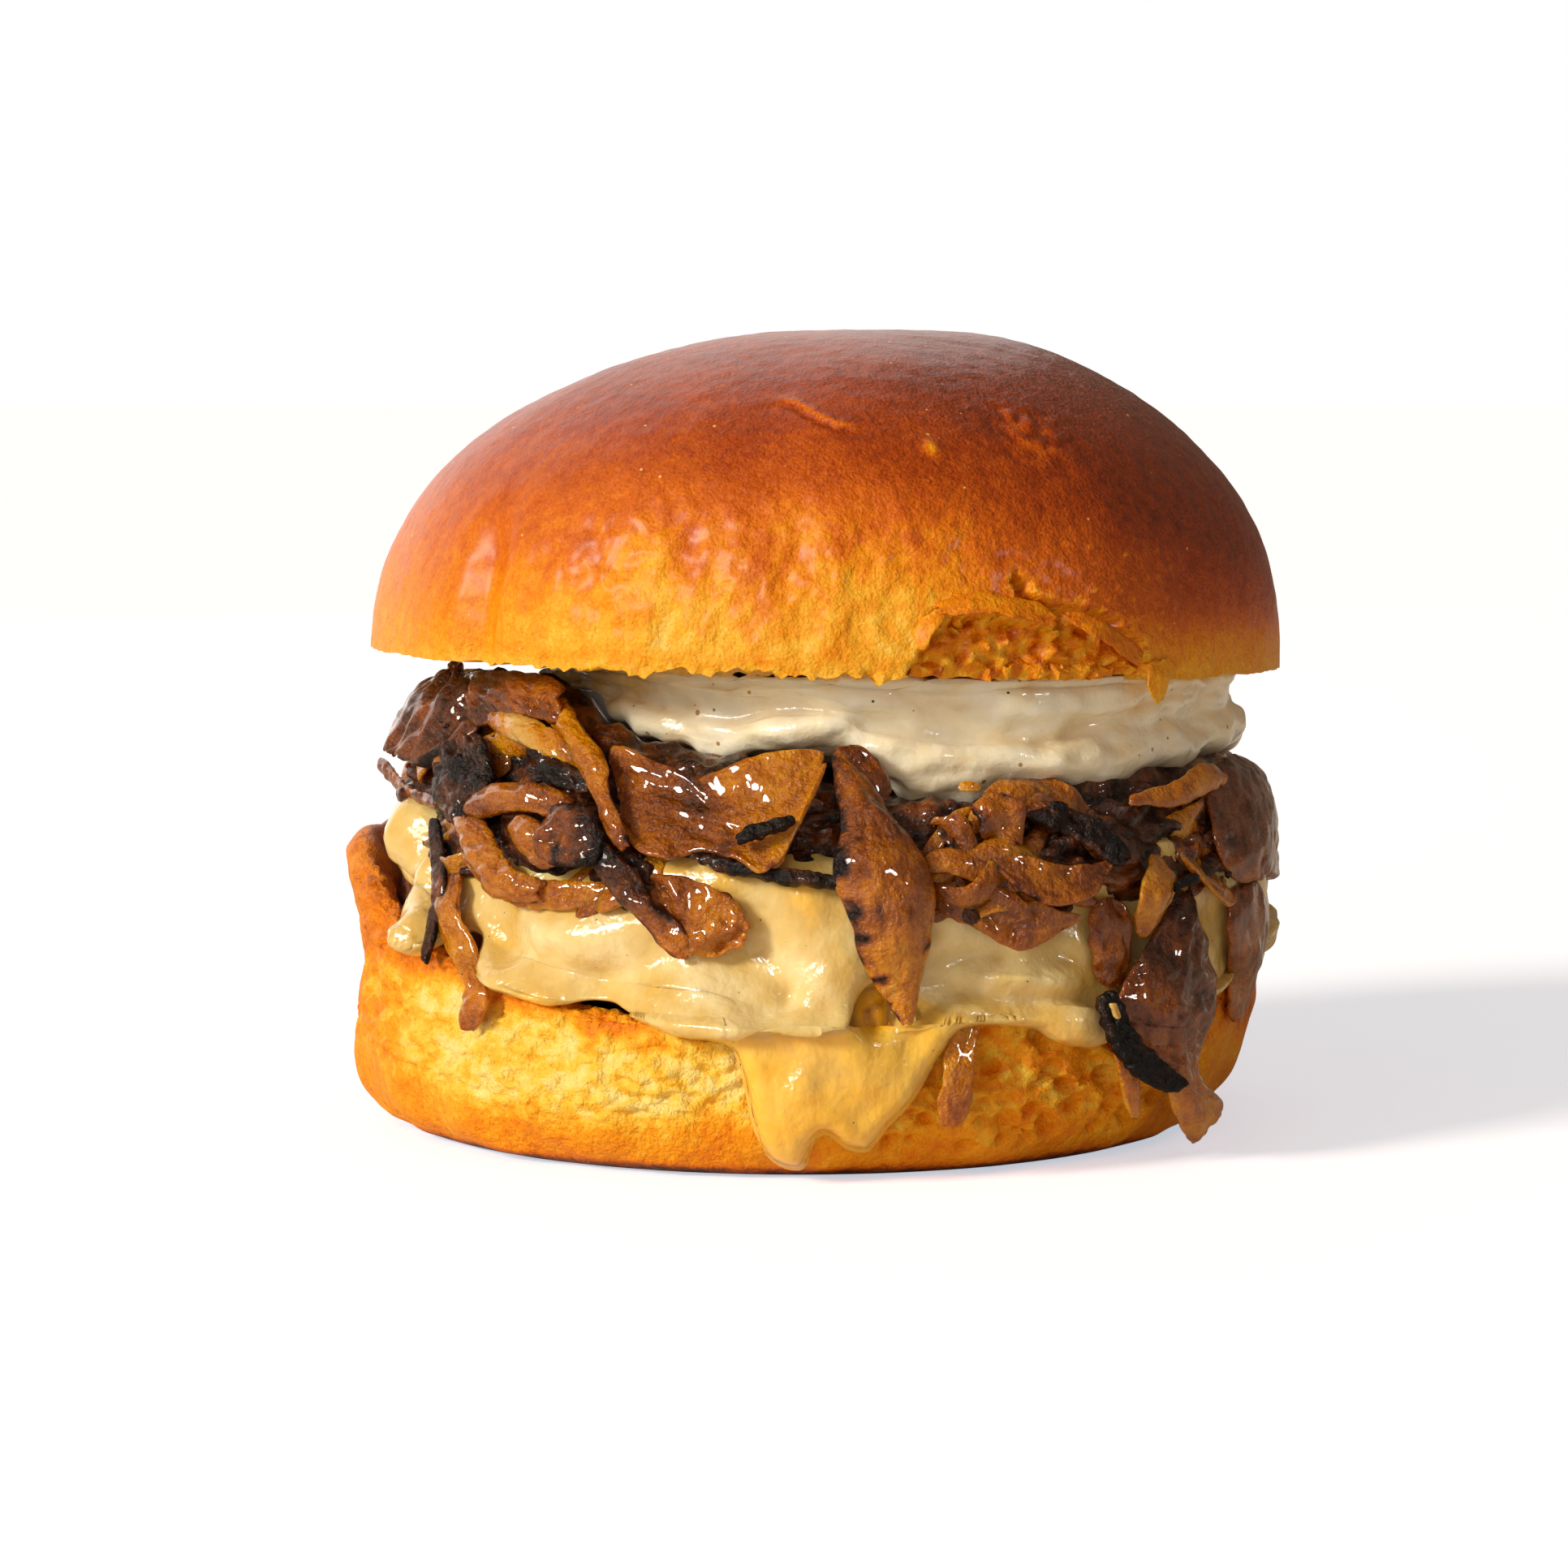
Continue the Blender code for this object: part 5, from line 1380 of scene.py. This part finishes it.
def loose_sheets(count, seed, where, lengths, widths, tones, stand):
    """Shreds strewn over part of the heap by a seeded rule. where gives an angle, a height and a slope."""
    rand = random.Random(seed)
    made = []
    for i in range(count):
        angle, level, fall = where(rand)
        sweep = rand.uniform(*lengths) / 2 / 0.9
        bend = rand.uniform(-3.0, 3.0)
        out = rand.uniform(*stand)
        half = rand.uniform(*widths) / 2
        tilt = rand.uniform(-0.7, 0.7)
        edges = ([], [])
        for share in (-1.0, -0.4, 0.3, 1.0):
            turn = angle + sweep * share * math.cos(fall)
            height = level + sweep * 0.9 * share * math.sin(fall) + bend * (1 - share**2)
            curl = out * (1 - 0.6 * share**2) + rand.uniform(-0.4, 0.8)
            wide = half * rand.uniform(0.6, 1.15)
            tilt += rand.uniform(-0.35, 0.35)
            for edge, way in zip(edges, (-1, 1)):
                across = turn - way * wide * math.sin(fall)
                rise = height + way * wide * math.cos(fall) * math.cos(tilt)
                reach = skin_radius(across, rise * MM) + (curl + way * wide * math.sin(tilt)) * MM
                edge.append(polar((0, 0), across, max(reach, 40 * MM), rise * MM))
        base = rand.uniform(*tones)
        shades = [base + rand.uniform(-0.12, 0.12) for _ in range(4)]
        char = (rand.uniform(0, 0.5), rand.uniform(0, 0.3)) if rand.random() < 0.4 else (0.0, 0.0)
        look = (rand.uniform(-0.3, 0.7), 0.5, rand.uniform(0.4, 0.9), char, shades)
        made.append(laid_sheet(f"loose_{i}", edges, look, i * 1.3 + seed, 1.04 * MM))
    return made


# Where large petals lie at the front, as (lowest angle, highest angle, lowest mm, highest mm).
PETAL_PLACES = (
    (-118, -84, 34, 60), (-90, -76, 15, 60), (-60, -36, 3, 46), (-142, -116, 33, 60), (-180, -150, 26, 44),
    (-32, 16, 30, 60),
)


def free_place(rand, angles, below_hem, below_cover, slope):
    """A random angle, height in mm and slope on the heap, clear of the large petals.

    The cover is the mayonnaise, or the crown where the heap reaches it.
    """
    while True:
        angle = rand.uniform(*angles)
        cover = min(onion_crest(angle), edge_height(MAYO_EDGE, angle) + 1.0 * MM) / MM
        level = rand.uniform(onion_hem(angle) / MM - below_hem, cover - below_cover)
        if not any(left < angle < right and low < level < high for left, right, low, high in PETAL_PLACES):
            return angle, level, rand.gauss(0, slope)


def round_the_heap(rand):
    return free_place(rand, (-180, 180), 0.0, 1.5, 0.4)


def over_the_front(rand):
    return free_place(rand, (-162, -22), 0.5, 2.0, 0.6)


# Small bits


def bits(name, count, seed, sizes, places, tones):
    """Crumbs: small lumps made from one icosphere, each copied, turned and pressed flat."""
    rand = random.Random(seed)
    start_alone()
    bpy.ops.mesh.primitive_ico_sphere_add(subdivisions=1, radius=1.0)
    first = bpy.context.object
    made = []
    for _ in range(count):
        point, out = places(rand)
        size = rand.uniform(*sizes) * MM
        bit = first.copy()
        bit.data = first.data.copy()
        bpy.context.scene.collection.objects.link(bit)
        turn = Matrix.Rotation(rand.uniform(0, math.tau), 4, "X")
        turn = turn @ Matrix.Rotation(rand.uniform(0, 6), 4, "Y")
        stretch = Matrix.Diagonal((rand.uniform(0.6, 1.6) * size, rand.uniform(0.5, 1) * size, size * 0.7, 1))
        bit.data.transform(Matrix.Translation(point + out * size * 0.2) @ turn @ stretch)
        keep_tones(bit, [rand.uniform(*tones)] * len(bit.data.vertices))
        made.append(bit)
    bpy.data.objects.remove(first)
    return joined(name, made)


def on_the_heap(rand):
    angle, level, _ = over_the_front(rand) if rand.random() < 0.7 else round_the_heap(rand)
    stand = rand.uniform(1.0, 2.2) * MM
    point = polar((0, 0), angle, skin_radius(angle, level * MM) + stand, level * MM)
    return point, polar((0, 0), angle, 1, 0)


# The stage

# The middle of the burger, which the round lights are turned to.
LIGHT_AIM = Vector((0.0, 0.0, 50 * MM))


def area_light(name, place, size, watts, colour, mirrored):
    """A round light that is either only mirrored in shiny surfaces or only lights what it falls on."""
    bpy.ops.object.light_add(type="AREA", location=place)
    light = bpy.context.object
    light.name = name
    light.data.shape = "DISK"
    light.data.size = size
    light.data.energy = watts
    light.data.color = colour
    light.visible_diffuse = not mirrored
    light.visible_glossy = mirrored
    light.rotation_euler = (LIGHT_AIM - Vector(place)).to_track_quat("-Z", "Y").to_euler()


def sun_light(name, way, strength, spread, colour):
    """A light from far away, which shines this way. Its spread in degrees softens the shadows."""
    bpy.ops.object.light_add(type="SUN", location=(-0.8, -0.7, 0.8))
    light = bpy.context.object
    light.name = name
    light.data.energy = strength
    light.data.angle = math.radians(spread)
    light.data.color = colour
    light.rotation_euler = Vector(way).to_track_quat("-Z", "Y").to_euler()


def floor_finish():
    """A pale floor. It shows whiter than it is, so its shadow stays light and little light comes back up."""
    pale = bpy.data.materials.new("pale floor")
    pale.use_nodes = True
    tree = pale.node_tree
    sockets = tree.nodes["Principled BSDF"].inputs
    sockets["Base Color"].default_value = (0.93, 0.89, 0.87, 1.0)
    sockets["Roughness"].default_value = 0.8
    sockets["Specular IOR Level"].default_value = 0.1
    sockets["Emission Color"].default_value = (0.84, 0.90, 1.0, 1.0)
    ray = tree.nodes.new("ShaderNodeLightPath")
    shown = add_math(tree, "MULTIPLY", ray.outputs["Is Camera Ray"], 0.60)
    tree.links.new(shown, sockets["Emission Strength"])
    return pale


def plain_world(strength, tint):
    """A white surround, which lights the burger less, and more warmly, than it shows behind it."""
    world = bpy.data.worlds.new("pale surround")
    bpy.context.scene.world = world
    world.use_nodes = True
    tree = world.node_tree
    seen = tree.nodes["Background"]
    seen.inputs["Color"].default_value = (1.0, 1.0, 1.0, 1.0)
    lighting = tree.nodes.new("ShaderNodeBackground")
    lighting.inputs["Color"].default_value = (*tint, 1.0)
    lighting.inputs["Strength"].default_value = strength
    ray = tree.nodes.new("ShaderNodeLightPath")
    mix = tree.nodes.new("ShaderNodeMixShader")
    sources = (ray.outputs["Is Camera Ray"], lighting.outputs[0], seen.outputs[0])
    for source, socket in zip(sources, mix.inputs):
        tree.links.new(source, socket)
    tree.links.new(mix.outputs[0], tree.nodes["World Output"].inputs["Surface"])


def photo_camera(focal_length):
    """A camera placed as the photo's seems to have been: level with the burger's top and tilted down."""
    distance, height = 0.55, 0.088
    tilt, turn = 4.98, 0.555
    place = (BURGER_PLACE.x, BURGER_PLACE.y - distance, height)
    bpy.ops.object.camera_add(location=place, rotation=(math.radians(90 - tilt), 0.0, math.radians(turn)))
    camera = bpy.context.object
    camera.name = "photo camera"
    camera.data.lens = focal_length
    camera.data.sensor_width = 36.0
    camera.data.clip_start = 0.01
    bpy.context.scene.camera = camera


# What a user can change


class BurgerBunSettings(bpy.types.PropertyGroup):
    crust_gloss: bpy.props.FloatProperty(
        name="Crust gloss", description="How much egg wash shines on the crown", default=0.28, min=0.0,
        max=1.0, subtype="FACTOR",
    )
    crumb_colour: bpy.props.FloatVectorProperty(
        name="Crumb colour", description="Palest colour of the torn crumb", default=HEEL_COLOURS[0][1],
        size=3, subtype="COLOR", min=0.0, max=1.0,
    )


class BurgerFillingSettings(bpy.types.PropertyGroup):
    cheese_colour: bpy.props.FloatVectorProperty(
        name="Cheese colour", description="Colour of the thick folds of cheese", default=CHEESE_COLOURS[0][1],
        size=3, subtype="COLOR", min=0.0, max=1.0,
    )
    onion_thickness: bpy.props.FloatProperty(
        name="Onion thickness", description="Thickness of one layer of fried onion", default=0.65 * MM,
        min=0.3 * MM, max=2 * MM, unit="LENGTH", subtype="DISTANCE",
    )
    loose_shreds: bpy.props.IntProperty(
        name="Loose shreds", description="How many shreds are strewn round the heap", default=110, min=0,
        max=200,
    )


class BurgerStageSettings(bpy.types.PropertyGroup):
    key_strength: bpy.props.FloatProperty(
        name="Key light", description="Strength of the soft light from the front left", default=2.75, min=0.0,
    )
    window_watts: bpy.props.FloatProperty(
        name="Window light", description="Power of the broad light behind the burger", default=7.0, min=0.0,
        subtype="POWER", unit="POWER",
    )
    spark_watts: bpy.props.FloatProperty(
        name="Spark lights", description="Power of the small lights mirrored in wet surfaces", default=4.0,
        min=0.0, subtype="POWER", unit="POWER",
    )
    fill_watts: bpy.props.FloatProperty(
        name="Front fill", description="Power of the low light beside the camera", default=2.2, min=0.0,
        subtype="POWER", unit="POWER",
    )
    focal_length: bpy.props.FloatProperty(
        name="Focal length", description="Focal length of the camera, in millimetres", default=103.9,
        min=20.0,
    )


# The operators


class BURGER_OT_finishes(bpy.types.Operator):
    """Makes the shared shader node groups"""

    bl_idname = "burger.finishes"
    bl_label = "Shared finishes"

    def execute(self, context):
        mottle_group()
        fleck_group()
        return {"FINISHED"}


class BURGER_OT_crown(bpy.types.Operator):
    """Makes the glazed crown of the bun with its wrinkled front and its torn place"""

    bl_idname = "burger.crown"
    bl_label = "Crown"

    def execute(self, context):
        settings = context.scene.burger_bun
        crown = turned("crown", 460, crown_column)
        relief(crown, crown_depth)
        paint(crown, crown_tone)
        sheets = []
        for i, (name, tone, one, two) in enumerate(FLAKES):
            edges = [[on_crown(x * MM, z * MM, stand * MM) for x, z, stand in edge] for edge in (one, two)]
            look = (0.1, 0.7, 0.25, (0.0, 0.0), (tone, tone - 0.06, tone))
            sheets.append(laid_sheet(f"flake_{name}", edges, look, i * 2.3, 0.4 * MM))
        flakes = joined_sheets("crust_flakes", sheets, 0.25 * MM)
        lean = Matrix.Rotation(math.radians(CROWN_LEAN), 4, "Y")
        for piece in (crown, flakes):
            piece.data.transform(Matrix.Translation((0, 0, CROWN_UNDERSIDE)) @ lean)
        shade(crown, 70)
        crust = food_finish(
            "glazed crust", CROWN_COLOURS, mottles=((0.08, 1.4, 1.2), (0.09, 0.42, 1.0)), gloss=(0.5, 0.4),
            coat=(settings.crust_gloss, 0.27), depth=0.06, glow=(3.0, 1.2, 0.4),
            bumps=((0.18, 1.1, 1.2), (0.12, 0.38, 1.0)),
            flecks=(((0.85, 0.48, 0.16), 2.0, 0.16, 0.2), ((0.05, 0.02, 0.01), 7.0, 0.18, 0.12)),
            shine=0.12, dull=(0.12, 0.6),
        )
        for piece in (crown, flakes):
            finish_piece(piece, crust, ("bun_crown",))
        return {"FINISHED"}


class BURGER_OT_heel(bpy.types.Operator):
    """Makes the heel of the bun with its torn, porous front"""

    bl_idname = "burger.heel"
    bl_label = "Heel"

    def execute(self, context):
        settings = context.scene.burger_bun
        heel = turned("heel", 480, heel_column)
        relief(heel, heel_depth)
        paint(heel, heel_tone)
        for vert in heel.data.vertices:
            vert.co.z = max(vert.co.z, 0.0)
        shade(heel, 70)
        crumb = food_finish(
            "buttery crumb", ((0.0, tuple(settings.crumb_colour)), *HEEL_COLOURS[1:]),
            mottles=((0.11, 1.5, 1.3), (0.07, 0.5, 1.2)), gloss=(0.6, 0.42), coat=(0.0, 0.3), depth=0.12,
            glow=(4.0, 2.0, 0.5), bumps=((0.34, 1.0, 1.3), (0.14, 0.35, 1.0)), shine=0.2,
        )
        finish_piece(heel, crumb, ("bun_heel",))
        return {"FINISHED"}


class BURGER_OT_patty(bpy.types.Operator):
    """Makes the craggy beef patty"""

    bl_idname = "burger.patty"
    bl_label = "Patty"

    def execute(self, context):
        patty = skin("beef", 200, patty_column, patty_depth, patty_tone, 70)
        meat = food_finish(
            "seared beef", PATTY_COLOURS, mottles=((0.2, 1.2, 1.0),), gloss=(0.45, 0.45), coat=(0.15, 0.2),
            bumps=((0.3, 0.8, 1.0),),
        )
        finish_piece(patty, meat, ("patty",))
        return {"FINISHED"}


class BURGER_OT_cheese(bpy.types.Operator):
    """Makes the melted cheese with its folds and its drip"""

    bl_idname = "burger.cheese"
    bl_label = "Cheese"

    def execute(self, context):
        settings = context.scene.burger_filling
        cheese = skin("melted", 520, cheese_column, cheese_depth, cheese_tone)
        melted = food_finish(
            "melted cheese", ((0.0, tuple(settings.cheese_colour)), *CHEESE_COLOURS[1:]),
            mottles=((0.09, 5.0, 1.0), (0.05, 1.6, 1.0)), gloss=(0.2, 0.2), coat=(0.5, 0.06), depth=0.3,
            glow=(3.0, 1.8, 0.6), bumps=((0.34, 3.4, 1.2), (0.06, 0.9, 1.0)),
            flecks=(((0.12, 0.06, 0.02), 3.2, 0.16, 0.4), ((0.34, 0.18, 0.05), 1.8, 0.10, 0.35)),
        )
        finish_piece(cheese, melted, ("cheese",))
        return {"FINISHED"}


class BURGER_OT_mayonnaise(bpy.types.Operator):
    """Makes the truffle mayonnaise with its folds and truffle specks"""

    bl_idname = "burger.mayonnaise"
    bl_label = "Mayonnaise"

    def execute(self, context):
        mayo = skin("mayonnaise", 440, mayo_column, mayo_depth, mayo_tone)
        sauce = food_finish(
            "truffle mayonnaise", MAYO_COLOURS, mottles=((0.12, 2.4, 0.6),), gloss=(0.22, 0.22),
            coat=(0.5, 0.06), depth=0.3, glow=(3.0, 2.2, 1.4), bumps=((0.18, 2.8, 0.8), (0.04, 0.7, 1.0)),
            flecks=(((0.08, 0.05, 0.03), 3.0, 0.24, 0.35), ((0.46, 0.27, 0.12), 2.0, 0.24, 0.4)),
        )
        finish_piece(mayo, sauce, ("truffle_mayo",))
        return {"FINISHED"}


class BURGER_OT_onions(bpy.types.Operator):
    """Makes the heap of fried onions: its core, its large petals and strips, and the loose shreds"""

    bl_idname = "burger.onions"
    bl_label = "Fried onions"

    def execute(self, context):
        settings = context.scene.burger_filling
        fried = food_finish(
            "fried onion", ONION_COLOURS, mottles=((0.07, 1.8, 1.0), (0.06, 0.6, 1.0)), gloss=(0.5, 0.06),
            coat=(0.8, 0.05), depth=0.4, glow=(3.2, 1.1, 0.1), bumps=((0.45, 1.2, 1.0), (0.18, 0.45, 1.0)),
            flecks=(((0.02, 0.01, 0.005), 2.4, 0.12, 0.3),), clear=0.2, shine=0.15, dull=(0.08, 0.32),
        )
        core = skin("onion_core", 360, core_column, core_depth, core_tone)
        thickness = settings.onion_thickness
        petals = joined_sheets("onion_petals", named_sheets("petal", PETALS), thickness)
        strips = joined_sheets("onion_strips", named_sheets("strip", STRIPS), thickness * 1.2, 0.1 * MM)
        sheets = named_sheets("burnt", BURNT, 0.55 * MM)
        burnt = joined_sheets("onion_burnt", sheets, thickness * 2.6, 0.25 * MM)
        sheets = loose_sheets(
            settings.loose_shreds, 11, round_the_heap, lengths=(8, 22), widths=(2.4, 6.5), tones=(0.26, 0.62),
            stand=(0.4, 2.2),
        )
        sheets += loose_sheets(
            34, 23, over_the_front, lengths=(5, 13), widths=(1.8, 4.6), tones=(0.22, 0.60), stand=(0.4, 1.8)
        )
        shreds = joined_sheets("onion_shreds", sheets, thickness)
        for piece in (core, petals, strips, burnt, shreds):
            finish_piece(piece, fried, ("onions",))
        return {"FINISHED"}


class BURGER_OT_low_shred(bpy.types.Operator):
    """Makes the one shred of onion that hangs out below the cheese"""

    bl_idname = "burger.low_shred"
    bl_label = "Low shred"

    def execute(self, context):
        edges = ([], [])
        for x, height, stand in LOW_SHRED:
            for edge, side in zip(edges, (-1.8, 1.8)):
                edge.append(on_heel((x + side) * MM, height * MM, stand * MM))
        look = (0.1, 0.35, 0.4, (0.0, 0.1), (0.74, 0.7, 0.64, 0.5))
        low = laid_sheet("low", edges, look, 4.2, 0.5 * MM)
        piece = joined_sheets("onion_low", [low], context.scene.burger_filling.onion_thickness)
        finish_piece(piece, bpy.data.materials["fried onion"], ("onion_low_shred",))
        return {"FINISHED"}


class BURGER_OT_bits(bpy.types.Operator):
    """Makes the burnt crumbs on the onions"""

    bl_idname = "burger.bits"
    bl_label = "Burnt crumbs"

    def execute(self, context):
        crumbs = bits("burnt_crumbs", 150, 5, (0.25, 0.7), on_the_heap, (0.0, 0.3))
        finish_piece(crumbs, bpy.data.materials["fried onion"], ())
        return {"FINISHED"}


class BURGER_OT_stage(bpy.types.Operator):
    """Makes the floor, the lights, the surround and the camera"""

    bl_idname = "burger.stage"
    bl_label = "Stage"

    def execute(self, context):
        settings = context.scene.burger_stage
        bpy.ops.mesh.primitive_plane_add(size=60.0)
        floor = context.object
        floor.name = "floor"
        floor.data.materials.append(floor_finish())
        plain_world(0.23, (1.0, 0.80, 0.58))
        sun_light("key light", (0.82, 0.57, -0.46), settings.key_strength, 15, (1.0, 0.94, 0.83))
        window, spark, fill = settings.window_watts, settings.spark_watts, settings.fill_watts
        area_light("window light", (-0.42, 0.85, 0.50), 1.4, window, (1.0, 0.96, 0.94), True)
        area_light("left spark", (-0.50, -0.70, 0.42), 0.14, spark, (1.0, 1.0, 1.0), True)
        area_light("right spark", (0.62, -0.62, 0.40), 0.11, spark * 0.25, (1.0, 1.0, 1.0), True)
        area_light("front fill", (-0.35, -0.85, 0.10), 0.7, fill, (1.0, 0.94, 0.84), False)
        photo_camera(settings.focal_length)
        context.scene.view_settings.view_transform = "Standard"
        return {"FINISHED"}


class BURGER_PT_panel(bpy.types.Panel):
    """Lists the steps that build the burger"""

    bl_idname = "BURGER_PT_panel"
    bl_label = "Truffle burger"
    bl_space_type = "VIEW_3D"
    bl_region_type = "UI"
    bl_category = "Burger"

    def draw(self, context):
        for group in ("burger_bun", "burger_filling", "burger_stage"):
            settings = getattr(context.scene, group)
            for name in settings.__annotations__:
                self.layout.prop(settings, name)
        for step in STEPS:
            self.layout.operator(step.bl_idname)


SETTINGS = {
    "burger_bun": BurgerBunSettings,
    "burger_filling": BurgerFillingSettings,
    "burger_stage": BurgerStageSettings,
}
STEPS = (
    BURGER_OT_finishes, BURGER_OT_stage, BURGER_OT_crown, BURGER_OT_heel, BURGER_OT_patty, BURGER_OT_cheese,
    BURGER_OT_mayonnaise, BURGER_OT_onions, BURGER_OT_low_shred, BURGER_OT_bits,
)


def register():
    for kind in (*SETTINGS.values(), *STEPS, BURGER_PT_panel):
        bpy.utils.register_class(kind)
    for name, kind in SETTINGS.items():
        setattr(bpy.types.Scene, name, bpy.props.PointerProperty(type=kind))


def unregister():
    for name in SETTINGS:
        delattr(bpy.types.Scene, name)
    for kind in reversed((*SETTINGS.values(), *STEPS, BURGER_PT_panel)):
        bpy.utils.unregister_class(kind)


def main():
    register()
    bpy.ops.burger.finishes()
    bpy.ops.burger.stage()
    bpy.ops.burger.crown()
    bpy.ops.burger.heel()
    bpy.ops.burger.patty()
    bpy.ops.burger.cheese()
    bpy.ops.burger.mayonnaise()
    bpy.ops.burger.onions()
    bpy.ops.burger.low_shred()
    bpy.ops.burger.bits()


if __name__ == "__main__":
    main()
